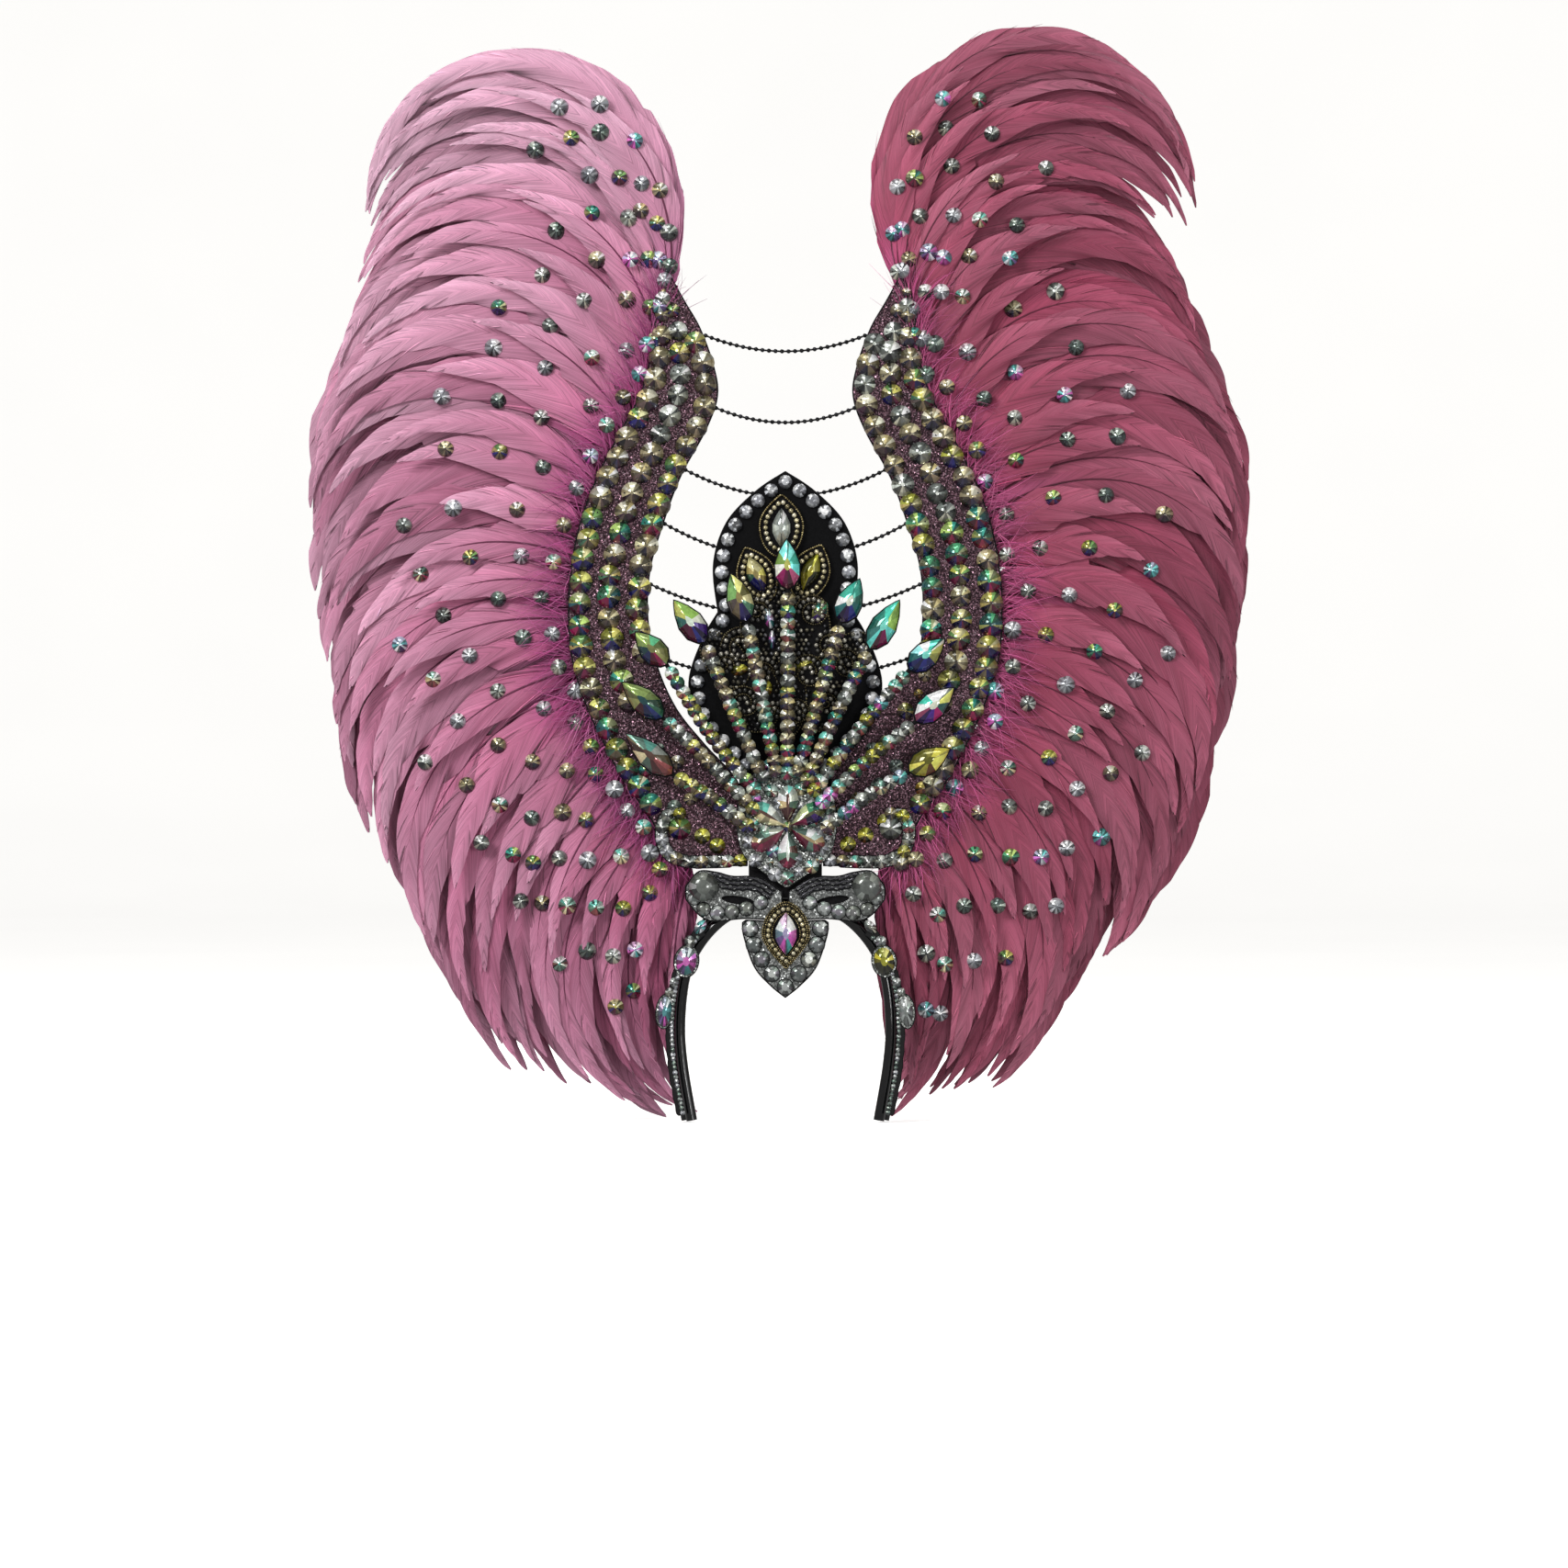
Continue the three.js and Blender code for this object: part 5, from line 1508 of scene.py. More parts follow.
@dataclass
class ForeheadDrop:
    """The pointed grey shield with its beaded frame and long stone."""

    back: float = 1.0
    thick: float = 2.0
    side: Rows = ((33, -9.4), (32, -20), (23.8, -43.5), (11.2, -58), (0, -67))
    stones: Rows = ((26.6, -14.2), (23.8, -26.4), (17.9, -37.6), (10.2, -48.4), (0, -58.4))
    stone_radius: float = 5.9
    frame: Spot = (0.5, -19.0)
    frame_half: Spot = (18, 25)

    def build(self, kit: Kit) -> None:
        """Make the shield, the beaded frame and the long stone."""
        half = smooth_line(self.side, 36)
        brow = smooth_line(LowerScroll.bottom, 60)
        top = brow[(brow[:, 0] < 31.5)] - (0, GAP)
        outline = np.vstack([half[:-1] * (-1, 1), half[::-1], top, top[::-1] * (-1, 1)])
        plate = kit.plate(outline, self.back, self.thick, 1.2, kit.grey)
        front = self.back + self.thick
        pile = Pile(121)
        rows = np.asarray(self.stones, float)
        seats = raised(np.vstack([rows, rows[:-1] * (-1, 1)]), front)
        ring_stones(pile, kit, seats, np.full((len(seats), 3), self.stone_radius))
        size = (self.stone_radius, self.stone_radius, 3)
        pile.add_stones(kit.stud, seats, size, (Mood.FROST, Mood.FROST, Mood.CLEAR))
        deliver("brow_shield", [plate, pile.build(kit.frosted)], "grey_glitter", "forehead_drop")
        back = front + GAP
        base = kit.plate(self._navette(0), back, 1.2, 0.4, kit.felt)
        beads = Pile(122)
        for shrink, size, lift, colours in (
            (0, 0.8, 1.1, GOLD), (1.7, 0.8, 1.3, GOLD), (4.4, 1.9, 1.5, PALE_GOLD), (7.2, 0.7, 1.6, GOLD),
        ):
            ring = even_places(self._navette(shrink), size * BEAD_PITCH, closed=True)
            shape = kit.bead if size > 1.5 else kit.seed
            beads.add_beads(shape, raised(ring, back + lift), size, colours)
        parts = [base, beads.build(kit.beads, smooth=True)]
        deliver("navette_frame", parts, "beadwork", "drop_applique")
        gem = Pile(123)
        gem.add_stones(kit.marquise, (0.5, -18, front + 2.6), (8.6, 16.2, 5), (Mood.ICE,), 0, 0)
        deliver("navette_stone", [gem.build(kit.stone)], "aurora_crystal", "drop_stone")

    def _navette(self, shrink: float) -> Array:
        """Outline of the frame, blunt above and pointed below.

        Args:
            shrink: How much narrower than the frame's base it is on each side.

        Returns:
            The outline.
        """
        angle = np.linspace(0, 2 * math.pi, 56, endpoint=False)
        x, y = np.cos(angle), np.sin(angle)
        x = x * np.where(y > 0, 1 - 0.2 * np.abs(y) ** 3, 1 - 0.72 * np.abs(y) ** 1.5)
        wide, tall = self.frame_half[0] - shrink, self.frame_half[1] - shrink * 1.15
        return np.column_stack([self.frame[0] + x * wide, self.frame[1] + y * tall])


@dataclass
class Headband:
    """The two glossy black arches that go over the head."""

    radius: float = 4.2
    depth: float = -4.5
    half: Rows = ((0, 4.2), (26, 2), (47, -7), (65, -26), (76, -50), (80, -86), (78, -118), (71, -160))

    def line(self, top: float, end: float, setback: Spot) -> Array:
        """Middle line of an arch, moved outwards and back by the given amounts."""
        points = []
        last = len(self.half) - 1
        for index, (x, y) in enumerate(self.half):
            share = index / last
            out = top + (end - top) * share
            lean = min(share * 1.9, 1) * math.pi / 2
            depth = self.depth - setback[0] - (setback[1] - setback[0]) * share
            points.append((x + math.sin(lean) * out, y + math.cos(lean) * out, depth))
        right = np.array(points)
        left = (right[1:] * (-1, 1, 1))[::-1]
        return smooth_line(np.vstack([left, right]), 90)

    def build(self, kit: Kit) -> None:
        """Make both arches."""
        for word, top, end, setback in (("front", 0, 0, (0, 0)), ("rear", 7.5, 4, (9, 8))):
            line = to_world(self.line(top, end, setback))
            piece = Bench.start(bpy.ops.curve.primitive_nurbs_path_add)
            piece.data.splines.remove(piece.data.splines[0])
            spline = piece.data.splines.new("POLY")
            spline.points.add(len(line) - 1)
            for point, place in zip(spline.points, line):
                point.co = (*place, 1)
            piece.data.dimensions = "3D"
            piece.data.bevel_depth = self.radius * MM
            piece.data.bevel_resolution = 5
            piece.data.use_fill_caps = True
            bpy.ops.object.convert(target="MESH")
            piece = bpy.context.object
            piece.data.materials.append(kit.patent)
            bpy.ops.object.shade_smooth_by_angle(angle=math.radians(50))
            deliver(f"band_{word}", [piece], "patent", f"headband_{word}")


@dataclass
class BandTrim:
    """A scalloped black strip with oval stones down the band's outer edge."""

    side: Side
    thick: float = 2.4
    line: Rows = ((63, -15), (74, -28), (83, -52), (86.5, -84), (84, -119), (77, -156))
    ovals: Rows = (
        # x, y, half width, half length, lean
        (64.5, -13, 3.8, 6, 38), (75, -39, 7.6, 10.6, 10), (91.5, -77, 5, 11.4, 6),
    )
    rounds: Rows = ((72.5, -24, 4.2), (84.5, -55, 3.4), (88, -62.5, 3.2))

    def build(self, kit: Kit) -> None:
        """Make the strip, its discs and stones."""
        sign = self.side.value
        line = smooth_line(self.line, 60)
        line[:, 0] += np.clip(np.linspace(-0.6, 2.8, 61), 0, 2.4)
        line = line * (sign, 1)
        scallop = 2.5 + 0.7 * np.abs(np.sin(np.linspace(0, 17 * math.pi, 61)))
        scallop[:12] += np.linspace(2.4, 0, 12)
        scallop[[0, -1]] = 1.6
        half = scallop[:, None]
        outline = np.vstack([inset_line(line, half), inset_line(line, -half)[::-1]])
        outline = outline if sign > 0 else outline[::-1]
        parts = [kit.plate(outline, 0, self.thick, 0.7, kit.patent)]
        edge = inset_line(line, -1.9 * sign)
        pile = Pile(131 + sign)
        for index, (x, y, wide, tall, lean) in enumerate(self.ovals):
            turn = math.radians(lean) * sign
            if index:
                disc = leaf_line((x * sign, y), (wide + 2.2, tall + 2.2), lean * sign, 0)
                parts.append(kit.plate(disc, 0, self.thick + 0.6, 0.8, kit.silver))
            mood = Mood.ICE if self.side is Side.LEFT else (Mood.CLEAR, Mood.LEMON, Mood.FROST)[index]
            seat = (x * sign, y, self.thick + 0.5)
            pile.add_stones(kit.oval, seat, (wide, tall, 3.2), (mood,), turn, 0.03)
        rows = np.asarray(self.rounds, float) * (sign, 1, 1)
        sizes = np.column_stack([rows[:, 2], rows[:, 2] * 1.1, np.full(len(rows), 2.4)])
        pile.add_stones(kit.oval, raised(rows[:, :2], self.thick), sizes, (Mood.CLEAR, Mood.FROST))
        seats = raised(even_places(edge[6:-1], 3.4), self.thick)
        pile.add_stones(kit.small, seats, (1.9, 1.9, 1.2), (Mood.FROST, Mood.SMOKE, Mood.STEEL))
        parts.append(pile.build(kit.stone))
        deliver(f"trim_{self.side.word}", parts, "grey_glitter", f"band_trim_{self.side.word}")


@dataclass
class BeadChain:
    """A swag of dark beads on links between the boards."""

    index: int
    half: float
    height: float
    sag: float
    depth: float = -2.3
    bead: float = 1.75
    pitch: float = 5.0

    def build(self, kit: Kit) -> None:
        """Make the links and the beads."""
        share = np.linspace(-1, 1, 60)
        swag = np.column_stack([share * self.half, self.height - self.sag * (1 - share**2)])
        line = raised(swag, self.depth)
        pile = Pile(140 + self.index)
        pile.add_tube(even_places(line, 3.1), 0.75, 6, linear((44, 42, 42)))
        pile.add_beads(kit.bead, even_places(line, self.pitch), self.bead, JET)
        parts = [pile.build(kit.beads, smooth=True)]
        deliver(f"bead_chain_{self.index}", parts, "jet_beads", f"chain_{self.index}")


CHAINS = (
    BeadChain(1, 60.5, 436, 12), BeadChain(2, 52.6, 381, 11), BeadChain(3, 75.8, 334, 20),
    BeadChain(4, 91.5, 293, 26), BeadChain(5, 102.1, 247, 24), BeadChain(6, 96.8, 192, 18),
)


# Feathers.
class Guide(NamedTuple):
    """How the feathers of one row leave the board, turn and taper."""

    root: float
    start: float
    turn: float
    length: float
    width: float

    def towards(self, other: "Guide", share: float) -> "Guide":
        """A guide part of the way to the next row."""
        return Guide(*(mine + (theirs - mine) * share for mine, theirs in zip(self, other)))


GUIDES = {
    Side.LEFT: (
        Guide(470, 97, -187, 408, 66), Guide(455, 92, -157, 346, 62), Guide(434, 89, -158, 340, 62),
        Guide(410, 81, -151, 330, 64), Guide(385, 64, -146, 328, 70), Guide(350, 58, -149, 326, 76),
        Guide(315, 44, -138, 294, 78), Guide(273, 24, -120, 264, 80), Guide(231, 10, -111, 260, 80),
        Guide(192, -7, -120, 284, 78), Guide(164, -31, -102, 322, 74), Guide(133, -41, -82, 290, 70),
        Guide(105, -39, -98, 272, 66), Guide(80, -42, -116, 284, 62), Guide(59, -54, -84, 231, 50),
        Guide(42, -66, -46, 178, 34),
    ),
    Side.RIGHT: (
        Guide(470, 105, -194, 417, 66), Guide(455, 99, -178, 386, 64), Guide(434, 87, -150, 292, 60),
        Guide(413, 82, -150, 298, 62), Guide(385, 80, -170, 326, 72), Guide(350, 59, -164, 334, 78),
        Guide(322, 46, -148, 302, 80), Guide(280, 26, -130, 270, 80), Guide(238, 6, -131, 284, 78),
        Guide(192, -6, -124, 286, 76), Guide(161, -18, -110, 266, 74), Guide(130, -30, -96, 245, 70),
        Guide(105, -38, -108, 290, 68), Guide(80, -47, -85, 240, 60), Guide(55, -59, -80, 230, 50),
        Guide(40, -69, -44, 192, 34),
    ),
}


@dataclass(frozen=True)
class Dye:
    """The colours of one fan's feathers, dye with painted light and shade, in 0 to 255, and how pale the fan
    is down its height.
    """

    body: Rgb
    deep: Rgb
    light: Rgb
    root: Rgb
    rib: Rgb
    pale: tuple[float, ...]


# The right fan's darker, redder colours are painted shade; deep is a painted shade colour and light partly a
# painted highlight of the body.
DYES_AND_SHADE = {
    Side.LEFT: Dye(
        (171, 86, 121), (104, 34, 60), (212, 166, 188), (174, 58, 128), (100, 42, 70),
        (2.7, 1.7, 1.0, 0.7, 0.0),
    ),
    Side.RIGHT: Dye(
        (152, 62, 89), (96, 25, 44), (186, 120, 140), (220, 97, 160), (88, 29, 50),
        (0.5, 0.1, 0.0, 0.1, 0.4),
    ),
}


@dataclass(frozen=True)
class FeatherKind:
    """A tier of feathers: how many, how long and wide, how far back and how varied in tone."""

    count: int
    length: Spot
    width: Spot
    layers: tuple[float, ...]
    barbs: int
    strays: int
    blend: float


KINDS = (
    FeatherKind(44, (0.97, 1.05), (0.62, 0.8), (3.9, 3.4, 3.7), 50, 8, 0.9),
    FeatherKind(60, (0.93, 1.02), (0.52, 0.7), (2.3, 2.5, 2.2), 56, 17, 1.0),
    FeatherKind(46, (0.72, 0.93), (0.46, 0.62), (1.2, 1.35), 46, 17, 0.9),
    FeatherKind(30, (0.42, 0.62), (0.36, 0.5), (0.35, 0.2), 34, 14, 0.5),
)


class Quill:
    """The middle line of a feather, drawn for the right-hand fan."""

    CURL_POWER = 1.25
    BAR_CENTRE = 6.5

    def __init__(self, guide: Guide, share: float, sway: float) -> None:
        """Work out the line.

        Args:
            guide: The guide that it follows.
            share: Length as a share of the guide's.
            sway: A slight extra bend, in degrees.
        """
        self.length = guide.length * share
        self.places = np.linspace(0, 1.25, 126)
        turned = guide.start + guide.turn * (self.places * share) ** self.CURL_POWER
        turned += sway * np.sin(self.places * 2.6)
        self.heading = np.radians(turned)
        middle = (self.heading[1:] + self.heading[:-1]) / 2
        stride = self.length * (self.places[1] - self.places[0])
        start = float(board_edge(guide.root, 2)) - self.BAR_CENTRE
        self.x = start + np.concatenate([[0], np.cumsum(np.cos(middle)) * stride])
        self.y = guide.root + np.concatenate([[0], np.cumsum(np.sin(middle)) * stride])

    def at(self, place: Array) -> tuple[Array, Array, Array]:
        """The x, y and heading at shares of the length, which may run a little past the tip."""
        return tuple(np.interp(place, self.places, row) for row in (self.x, self.y, self.heading))


def advance(out: Array | float) -> Array | float:
    """How far ahead of its root a barb runs, as a share of the vane's half width."""
    return 2.0 * out + 1.2 * out**2


def set_back(reach: Array | float, out: Array | float, sign: int) -> Array | float:
    """How far a vane lies behind its rib: cambered, and turned so that it laps its neighbour."""
    return reach * (0.07 * out + 0.11 * sign)


@dataclass(frozen=True)
class Feather:
    """One feather: its kind and quill, the pile it joins, where it lies and its colour."""

    kind: FeatherKind
    quill: Quill
    pile: Pile
    half: float
    layer: float
    shade: float
    tone: float

    BAR_FRONT: ClassVar[float] = -3.6
    LAYER_FIRST: ClassVar[float] = 2.0
    LAYER_PITCH: ClassVar[float] = 3.3
    LEAN_STEP: ClassVar[float] = 0.055

    def depth(self, x: Array, y: Array) -> Array:
        """Depth of the feather's plane, which leans back towards its tip.

        Args:
            x: Places across the drawing.
            y: Places up the drawing.

        Returns:
            The depths.
        """
        quill = self.quill
        root = np.array([quill.x[0], quill.y[0]])
        tip = np.array([np.interp(1.0, quill.places, quill.x), np.interp(1.0, quill.places, quill.y)])
        towards = (tip - root) / np.linalg.norm(tip - root)
        depth = self.BAR_FRONT - self.LAYER_FIRST - self.layer * self.LAYER_PITCH
        return depth - self.layer * self.LEAN_STEP * ((x - root[0]) * towards[0] + (y - root[1]) * towards[1])

    def half_width(self, place: Array) -> Array:
        """Half width of the vane along the quill: narrow root, broad middle, pointed tip.

        Args:
            place: Places along the quill.

        Returns:
            The half widths.
        """
        rise = np.sin(np.clip(place / 0.44, 0, 1) * math.pi / 2)
        fall = np.clip((place - 0.4) / 0.6, 0, 1) ** 1.02
        return 4 + (self.half - 4) * rise + (0.5 - self.half) * fall


@dataclass
class FeatherFan:
    """The feathers of one side, in five sections, with the stones glued on them."""

    side: Side
    kit: Kit
    bar_depth: float = 17.0
    vane_thick: float = 0.7
    PALE_PLACES: ClassVar[tuple[float, ...]] = (0, 3, 8, 12, 15)
    sections: tuple[float, ...] = (4.5, 6.5, 8.5, 10.5, 99.0)
    stone_rows: int = 25
    tufts: int = 84
    tuft_barbs: int = 10
    piles: list[Pile] = field(default_factory=list)

    def __post_init__(self) -> None:
        """Start a pile for each section and the fan's own random choices."""
        self.rng = np.random.default_rng(200 + self.side.value)
        self.piles = [Pile(210 + index) for index in range(len(self.sections))]
        self.guides = GUIDES[self.side]
        self.dye = DYES_AND_SHADE[self.side]

    def guide_at(self, place: float) -> Guide:
        """The guide at a place counted along the table."""
        row = min(int(place), len(self.guides) - 2)
        return self.guides[row].towards(self.guides[row + 1], place - row)

    def section_of(self, place: float) -> int:
        """The section that a place belongs to."""
        return next(index for index, end in enumerate(self.sections) if place < end)

    def build(self) -> None:
        """Make the feathers, their bars and the stones on them."""
        for kind in KINDS:
            for index in range(kind.count):
                place = (len(self.guides) - 1) * (index + self.rng.uniform(-0.3, 0.3)) / (kind.count - 1)
                place = float(np.clip(place, 0, len(self.guides) - 1.001))
                if kind.length[0] > 0.6 and index > kind.count - 4:
                    place += 0.55
                self._feather(kind, index, place)
        self._down()
        for section in range(len(self.sections)):
            self._bar(section)
        word = self.side.word
        for number, pile in enumerate(self.piles, 1):
            parts = [pile.build(self.kit.plumage, smooth=True)]
            deliver(f"plumes_{word}_{number}", parts, "feather", f"feathers_{word}_{number}")
        self._stones()

    def _feather(self, kind: FeatherKind, index: int, place: float) -> None:
        """Add one feather: two vanes of barbs, the rib between them and stray barbs.

        Args:
            kind: Its tier.
            index: Its number in the tier.
            place: Its place along the table of guides.
        """
        rng = self.rng
        guide = self.guide_at(place)
        layer = kind.layers[index % len(kind.layers)] + rng.uniform(-0.06, 0.06)
        quill = Quill(guide, rng.uniform(*kind.length), rng.uniform(-5, 5))
        width = guide.width * rng.uniform(*kind.width)
        if kind.length[0] > 0.9:
            width = max(width, 32)
        # Random brightness of each feather, with painted shade: every layer further back is 2% darker.
        shade = (1 + kind.blend * rng.uniform(-0.1, 0.12)) * (1 - 0.02 * layer)
        tone = kind.blend * rng.uniform(-1, 1) + float(np.interp(place, self.PALE_PLACES, self.dye.pale))
        pile = self.piles[self.section_of(place)]
        feather = Feather(kind, quill, pile, width / 2, layer, shade, tone)
        self._vane(feather)
        self._rib(feather)
        self._strays(feather)

    def _vane(self, feather: Feather) -> None:
        """Add both vanes as one thin closed sheet whose grid lines run along the barbs.

        Args:
            feather: The feather.
        """
        quill, count = feather.quill, feather.kind.barbs
        edge = np.linspace(0.03, 1.0, count)
        swell = feather.half_width(edge)
        base = edge - advance(1.0) * swell / quill.length
        base = np.maximum.accumulate(np.maximum(base, 0)) + np.linspace(0, 0.004, count)
        columns = np.array([-1.0, -0.74, -0.4, 0.0, 0.4, 0.74, 1.0])
        grid = np.zeros((count, len(columns), 3))
        flow = np.zeros((count, len(columns), 2))
        tint = np.zeros((count, len(columns), 3))
        start = self.rng.uniform(0, 5, 2)
        locks = (self._locks(count, quill), self._locks(count, quill))
        ahead = (edge - base) * quill.length / advance(1.0)
        for column, reach in enumerate(columns):
            size, phase, notch = locks[0 if reach < 0 else 1]
            out = abs(reach)
            sign = 1 if reach > 0 else -1
            ragged = 1 - notch * (1 - phase) ** 1.4
            reach_now = swell * ragged * out
            gather = (1 - phase) * size * (0.35 + 0.6 * notch) * out**2
            spot = base + (ahead * ragged * advance(out) + gather) / quill.length
            x, y, heading = quill.at(spot)
            x = x - np.sin(heading) * reach_now * sign
            y = y + np.cos(heading) * reach_now * sign
            ridge = (np.sin(phase * math.pi) * 0.9 - (1 - phase) * 0.5) * out
            bow = 1.1 * np.sin(base * 3.1) * (1 - out)
            depth = feather.depth(x, y) - set_back(reach_now, out, sign) + ridge + bow
            grid[:, column] = np.column_stack([x, y, depth])
            flow[:, column] = np.column_stack([base * quill.length, reach_now * sign * 1.8]) * MM + start
            # Painted light and shade: the vane on one side of the quill is painted up to 5% lighter, the
            # other up to 5% darker.
            shade = feather.shade * (1 + 0.05 * reach)
            tint[:, column] = self._colours(spot, out, phase, shade, feather.tone)
        self._sheet(feather.pile, grid, flow, tint)

    def _locks(self, count: int, quill: Quill) -> tuple[Array, Array, Array]:
        """Group the barbs of a vane into locks that part at their lower ends.

        Args:
            count: Number of barbs.
            quill: The quill that they grow from.

        Returns:
            For each barb, its lock's size in millimetres, its place in the lock from 0 to 1
            and how deep the lock is notched.
        """
        rng = self.rng
        size = np.zeros(count)
        phase = np.ones(count)
        notch = np.zeros(count)
        first = 0
        while first < count:
            last = min(first + int(rng.integers(3, 11)), count)
            span = last - first
            phase[first:last] = (np.arange(span) + 1) / span
            size[first:last] = span * quill.length / count
            outer = first / count
            deep = rng.random() < 0.2 + 0.4 * outer
            notch[first:last] = rng.uniform(0.22, 0.36 + 0.2 * outer) if deep else rng.uniform(0.02, 0.1)
            first = last
        return size, phase, notch

    def _colours(self, place: Array, out: float, phase: Array, shade: float, tone: float) -> Array:
        """Colours of a row of barbs: vivid at the root and paler at the tip, with painted light at the edge
        and painted shade where the locks part.

        Args:
            place: Places along the quill.
            out: How far out on the vane the row is, from 0 to 1.
            phase: Places in the lock.
            shade: Brightness of this feather, including its painted light and shade.
            tone: From wine at -1 to pale lilac at 1.

        Returns:
            Linear colours.
        """
        body, deep, light, root = (np.asarray(c, float) for c in (
            self.dye.body, self.dye.deep, self.dye.light, self.dye.root,
        ))
        near = np.clip(1 - place / 0.32, 0, 1)[:, None] ** 1.2
        # Paler towards the tip; the share by the edge is painted light through the thin edge.
        pale = np.clip((place - 0.3) * 0.6 + 0.1 * out + 0.2 * tone, 0, 1)[:, None]
        # Painted shade: the deep colour darkens the first barbs of each lock, where the locks part, and the
        # barbs by the quill a little.
        dark = np.clip(0.42 * (1 - phase) ** 2 * out + 0.08 * (1 - out) - 0.14 * tone, 0, 1)[:, None]
        colour = body * (1 - near) + root * near
        colour = colour * (1 - pale) + light * pale
        colour = colour * (1 - dark) + deep * dark
        return linear(colour * shade)

    def _mirror(self, points: Array) -> Array:
        """Move right-hand points to this fan's side."""
        return points * (self.side.value, 1, 1)

    def _sheet(self, pile: Pile, front: Array, flow: Array, tint: Array) -> None:
        """Add a thin closed sheet, whose front and back share their border.

        Args:
            pile: Where it goes.
            front: Grid of its front.
            flow: Pattern coordinates of the grid.
            tint: Linear colours of the grid.
        """
        rows, columns = front.shape[:2]
        number = np.arange(rows * columns).reshape(rows, columns)
        inner = np.full((rows, columns), -1)
        inner[1:-1, 1:-1] = rows * columns + np.arange((rows - 2) * (columns - 2)).reshape(
            rows - 2, columns - 2
        )
        other = np.where(inner < 0, number, inner)
        faces = np.vstack([self._quads(number, False), self._quads(other, True)])
        if self.side is Side.LEFT:
            faces = faces[:, ::-1]
        back = front[1:-1, 1:-1] - (0, 0, self.vane_thick)
        points = np.vstack([front.reshape(-1, 3), back.reshape(-1, 3)])
        flows = np.vstack([flow.reshape(-1, 2), flow[1:-1, 1:-1].reshape(-1, 2)])
        tints = np.vstack([tint.reshape(-1, 3), tint[1:-1, 1:-1].reshape(-1, 3) * 0.9])
        pile.add(self._mirror(points), faces, tints[faces], flows)

    @staticmethod
    def _quads(number: Array, flipped: bool) -> Array:
        """Triangles over a grid of point numbers."""
        a, b = number[:-1, :-1].ravel(), number[1:, :-1].ravel()
        c, d = number[1:, 1:].ravel(), number[:-1, 1:].ravel()
        faces = np.vstack([np.stack([a, b, c], 1), np.stack([a, c, d], 1)])
        return faces[:, ::-1] if flipped else faces

    def _rib(self, feather: Feather) -> None:
        """Add the quill's dark rib, which thins towards the tip.

        Args:
            feather: The feather.
        """
        places = np.linspace(0, 0.92, 22)
        x, y, _ = feather.quill.at(places)
        lift = 0.25 if self.rng.random() < 0.5 else -0.5
        depth = feather.depth(x, y) + 1.1 * np.sin(places * 3.1) + lift - places
        radius = 0.85 * (1 - places) ** 0.8 + 0.2
        tint = linear(np.asarray(self.dye.rib) * feather.shade)
        feather.pile.add_tube(self._mirror(np.column_stack([x, y, depth])), radius, 5, tint)

    def _strays(self, feather: Feather) -> None:
        """Add stray barbs that lift off the vane and run past its edge.

        Args:
            feather: The feather.
        """
        rng, quill = self.rng, feather.quill
        for _ in range(feather.kind.strays):
            edge = rng.uniform(0.12, 0.99)
            sign = int(rng.choice((-1, 1)))
            swell = float(feather.half_width(np.array([edge]))[0])
            base = max(edge - swell * advance(1.0) / quill.length, 0)
            reach = np.linspace(0.35, rng.uniform(1.02, 1.12), 6)
            spot = base + (edge - base) * advance(reach) / advance(1.0)
            x, y, heading = quill.at(spot)
            x = x - np.sin(heading) * swell * reach * sign
            y = y + np.cos(heading) * swell * reach * sign
            lift = rng.uniform(0.2, 0.9) * np.sin((reach - 0.35) * 2.4) + 0.25
            depth = feather.depth(x, y) - set_back(swell * reach, reach, sign) + lift
            radius = np.array([0.2, 0.45, 0.5, 0.42, 0.28, 0.08]) * rng.uniform(0.6, 1.1)
            shade = feather.shade * rng.uniform(0.66, 1.3)
            tint = self._colours(spot, 0.8, np.ones(6), shade, feather.tone)
            feather.pile.add_tube(self._mirror(np.column_stack([x, y, depth])), radius, 3, tint)

    def _down(self) -> None:
        """Add tufts of fine down where the feathers leave the board."""
        rng = self.rng
        for tuft in range(self.tufts):
            place = 0.5 + (tuft + rng.uniform(0, 1)) / self.tufts * (len(self.guides) - 1.51)
            guide = self.guide_at(place)
            pile = self.piles[self.section_of(place)]
            root = np.array([float(board_edge(guide.root, 2)) - 2.5, guide.root])
            depth = rng.uniform(-7, -4)
            for _ in range(self.tuft_barbs):
                share = np.linspace(0, 1, 6)
                heading = np.radians(guide.start + rng.normal(0, 26) + share * rng.normal(-22, 30))
                stride = rng.uniform(20, 52) / 5
                x = root[0] + np.concatenate([[0], np.cumsum(np.cos(heading[1:]) * stride)])
                y = root[1] + np.concatenate([[0], np.cumsum(np.sin(heading[1:]) * stride)])
                x += rng.uniform(-1, 2)
                y += rng.uniform(-5, 5)
                level = depth + np.sin(share * 2.6) * rng.uniform(3, 7.5)
                radius = (0.42 - 0.34 * share) * rng.uniform(0.7, 1.2)
                mix = rng.uniform(0, 1)
                colour = np.asarray(self.dye.root) * (1 - mix * 0.5) + np.asarray(self.dye.light) * mix * 0.5
                tint = linear(colour * rng.uniform(0.7, 1.15))
                pile.add_tube(self._mirror(np.column_stack([x, y, level])), radius, 3, tint)

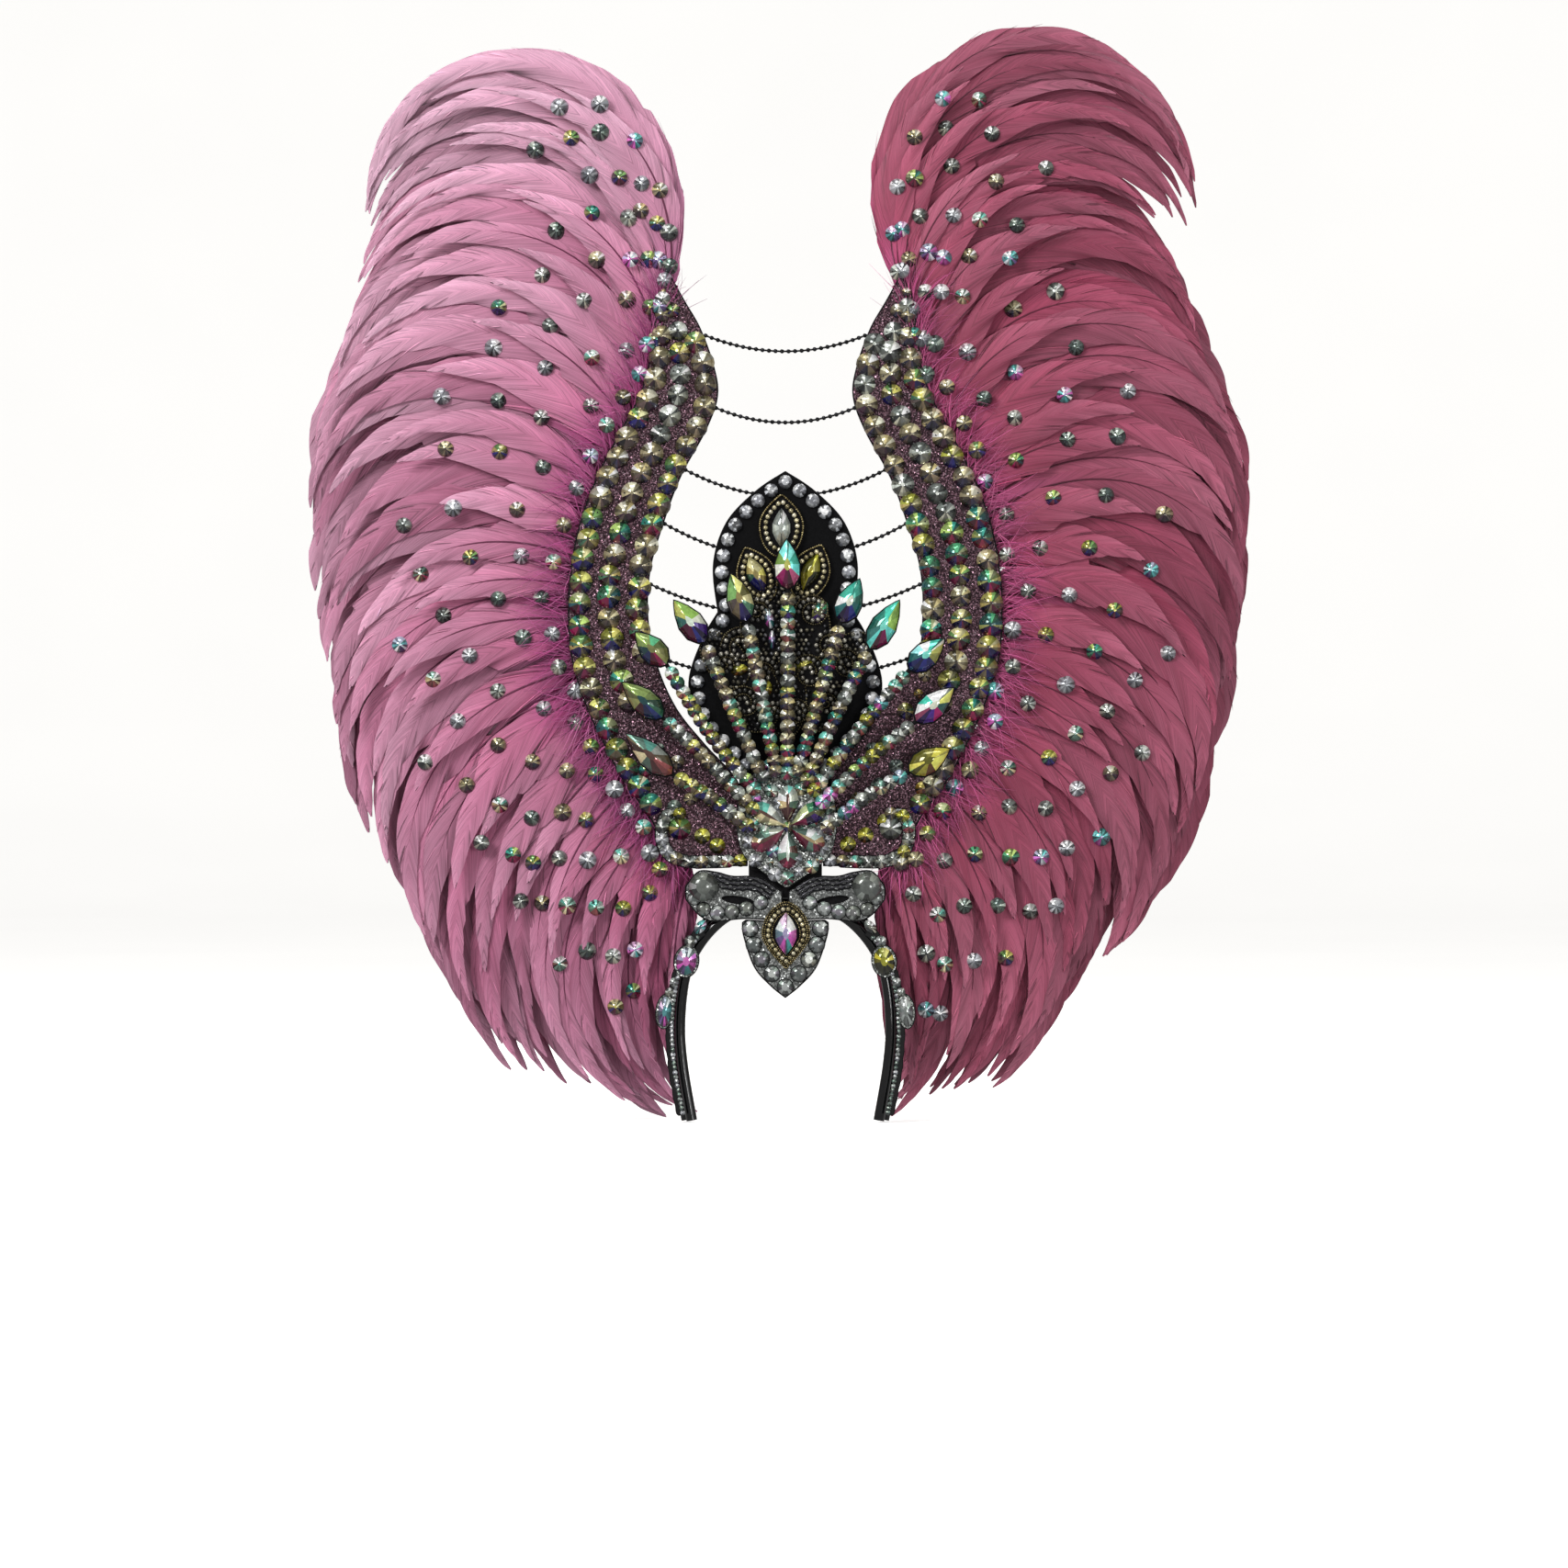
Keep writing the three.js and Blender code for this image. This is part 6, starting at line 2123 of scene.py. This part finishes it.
    def _bar(self, section: int) -> None:
        """Add the wrapped bar behind the board that the quills are bound to."""
        edges = (-0.25, *self.sections[:-1], len(self.guides) - 1)
        first = self.guide_at(max(edges[section], 0)).root + (6 if section == 0 else -GAP / 2)
        last = self.guide_at(edges[section + 1] - 0.001).root - (5 if section == 4 else -GAP / 2)
        heights = np.linspace(first, last, 12)
        middle = board_edge(heights, 2) - 6.5
        depth = Feather.BAR_FRONT - self.bar_depth / 2
        line = self._mirror(raised(np.column_stack([middle, heights]), depth))
        self.piles[section].add_tube(line, 4.4, 10, linear(self.dye.deep))

    def _stones(self) -> None:
        """Glue the round stones on the feathers, seated on whatever lies in front."""
        points, faces, count = [], [], 0
        for pile in self.piles:
            some, triangles, _, _ = pile.gather()
            points.append(some)
            faces.append(triangles + count)
            count += len(some)
        tree = BVHTree.FromPolygons(np.vstack(points).tolist(), np.vstack(faces).tolist())
        pile = Pile(230 + self.side.value)
        for row in range(self.stone_rows):
            place = 0.15 + row * (len(self.guides) - 1.6) / (self.stone_rows - 1)
            quill = Quill(self.guide_at(place), 1.0, 0.0)
            distances = (22, 62, 101, 142) if row % 2 else (16, 43, 82, 122)
            if place < 2:
                distances = (*distances, distances[-1] + 40)
            for distance in distances:
                spot = (distance + pile.rng.uniform(-6, 6)) / quill.length
                x, y, _ = quill.at(np.array([spot]))
                self._glue(pile, tree, float(x[0]) * self.side.value, float(y[0]))
        deliver(f"plume_stones_{self.side.word}", [pile.build(self.kit.stone)], "silver_stones")

    def _glue(self, pile: Pile, tree: BVHTree, x: float, y: float) -> None:
        """Seat one stone on the feathers at a place in the front view."""
        radius = 6.9 if pile.rng.random() < 0.25 else 6.2
        levels = []
        for across, up in ((0, 0), (0.7, 0), (-0.7, 0), (0, 0.7), (0, -0.7)):
            start = Vector(((x + across * radius) * MM, -0.3, (y + up * radius) * MM))
            hit, _, _, _ = tree.ray_cast(start, Vector((0, 1, 0)))
            if hit is None:
                return
            levels.append(-hit.y / MM)
        seat = np.array([[x, y, max(levels) - 0.7]])
        moods = (
            Mood.CLEAR, Mood.CLEAR, Mood.STEEL, Mood.STEEL, Mood.SMOKE, Mood.ICE, Mood.OPAL,
            Mood.AURORA, Mood.CHAMPAGNE, Mood.GARDEN,
        )
        pile.add_stones(self.kit.round, seat, (radius, radius, 4.0), moods, pile.rng.uniform(0, 1), 0.16)
        pierce(pile, self.kit, seat, np.array([radius]))


@dataclass
class Studio:
    """A plain pale sweep, soft lights and the camera at the photo's angle."""

    floor_height: float = -0.1615
    floor_radius: float = 7.0
    rim_radius: float = 1.5
    rim_steps: int = 8
    wall_height: float = 3.0
    lens: float = 135.0
    camera_distance: float = 4.462
    view_centre: Spot = (-0.001, 0.0955)

    def build(self) -> None:
        """Make the floor, the lights and the camera."""
        self._floor()
        for name, place, size, power in (
            ("key", (-1.9, -2.2, 1.8), 1.2, 66), ("fill", (2.2, -2.4, 0.5), 1.2, 10),
            ("window", (1.2, -3.0, 0.1), 0.42, 13), ("crown", (-0.3, -0.2, 2.5), 1.2, 20),
            ("behind", (0.5, 1.9, 1.7), 1.4, 24),
        ):
            self._light(name, place, size, power)
        world = bpy.data.worlds.new("studio")
        world.use_nodes = True
        background = world.node_tree.nodes["Background"]
        background.inputs["Color"].default_value = (1.0, 0.995, 0.985, 1)
        background.inputs["Strength"].default_value = 0.44
        scene = bpy.context.scene
        scene.world = world
        scene.view_settings.view_transform = "Standard"
        camera = bpy.data.cameras.new("portrait")
        camera.lens = self.lens
        camera.sensor_width = 36
        holder = bpy.data.objects.new("portrait", camera)
        holder.location = (self.view_centre[0], -self.camera_distance, self.view_centre[1])
        holder.rotation_euler = (math.pi / 2, 0, 0)
        scene.collection.objects.link(holder)
        scene.camera = holder

    def _light(self, name: str, place: tuple[float, float, float], size: float, power: float) -> None:
        """Add a square soft light that faces the headdress.

        Args:
            name: Its name.
            place: Where it stands, in metres.
            size: Its side.
            power: Its power in watts.
        """
        light = bpy.data.lights.new(name, "AREA")
        light.size = size
        light.energy = power
        holder = bpy.data.objects.new(name, light)
        holder.location = place
        holder.visible_camera = False
        aim = Vector((0, 0, 0.25)) - Vector(place)
        holder.rotation_euler = aim.to_track_quat("-Z", "Y").to_euler()
        bpy.context.scene.collection.objects.link(holder)

    def _floor(self) -> None:
        """Model the round floor, whose rim curves up into a low wall all round."""
        floor = Bench.start(
            bpy.ops.mesh.primitive_circle_add, vertices=64, radius=self.floor_radius, fill_type="NGON",
            location=(0, 0, self.floor_height),
        )
        floor.name = "studio_floor"
        bpy.ops.object.transform_apply(location=True, rotation=True, scale=True)
        turn = math.pi / 2 / self.rim_steps
        reach = self.floor_radius
        moves = []
        for step in range(self.rim_steps):
            angle = turn * (step + 0.5)
            stride = 2 * self.rim_radius * math.sin(turn / 2)
            wider = reach + stride * math.cos(angle)
            moves.append((wider / reach, stride * math.sin(angle)))
            reach = wider
        bpy.context.tool_settings.mesh_select_mode = (False, True, False)
        bpy.ops.object.mode_set(mode="EDIT")
        bpy.ops.mesh.select_all(action="SELECT")
        bpy.ops.mesh.region_to_loop()
        for scale, rise in (*moves, (1.0, self.wall_height)):
            bpy.ops.mesh.extrude_edges_move(TRANSFORM_OT_translate={"value": (0, 0, rise)})
            bpy.ops.transform.resize(value=(scale, scale, 1), center_override=(0, 0, 0))
        bpy.ops.mesh.select_all(action="SELECT")
        bpy.ops.mesh.normals_make_consistent(inside=True)
        bpy.ops.object.mode_set(mode="OBJECT")
        floor.data.materials.append(BackdropFinish().material())
        bpy.ops.object.shade_smooth()
        floor.visible_diffuse = False
        floor.visible_glossy = False


def main() -> None:
    """Build every sub-assembly in order and report each piece."""
    logging.basicConfig(level=logging.INFO, format="%(name)s %(message)s")
    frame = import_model()
    kit = Kit()
    Studio().build()
    for side in Side:
        FeatherFan(side, kit).build()
        WingBoard(side).build(kit)
        UpperScroll(side).build(kit)
        LowerScroll(side).build(kit)
        BandTrim(side).build(kit)
    CentrePanel().build(kit)
    Applique().build(kit)
    for ray in RAYS:
        ray.build(kit)
    Hub().build(kit)
    ForeheadDrop().build(kit)
    for chain in CHAINS:
        chain.build(kit)
    Headband().build(kit)
    block = frame["nodes"]["mounting_block"]
    for slot in block.material_slots:
        slot.material = kit.felt


if __name__ == "__main__":
    main()
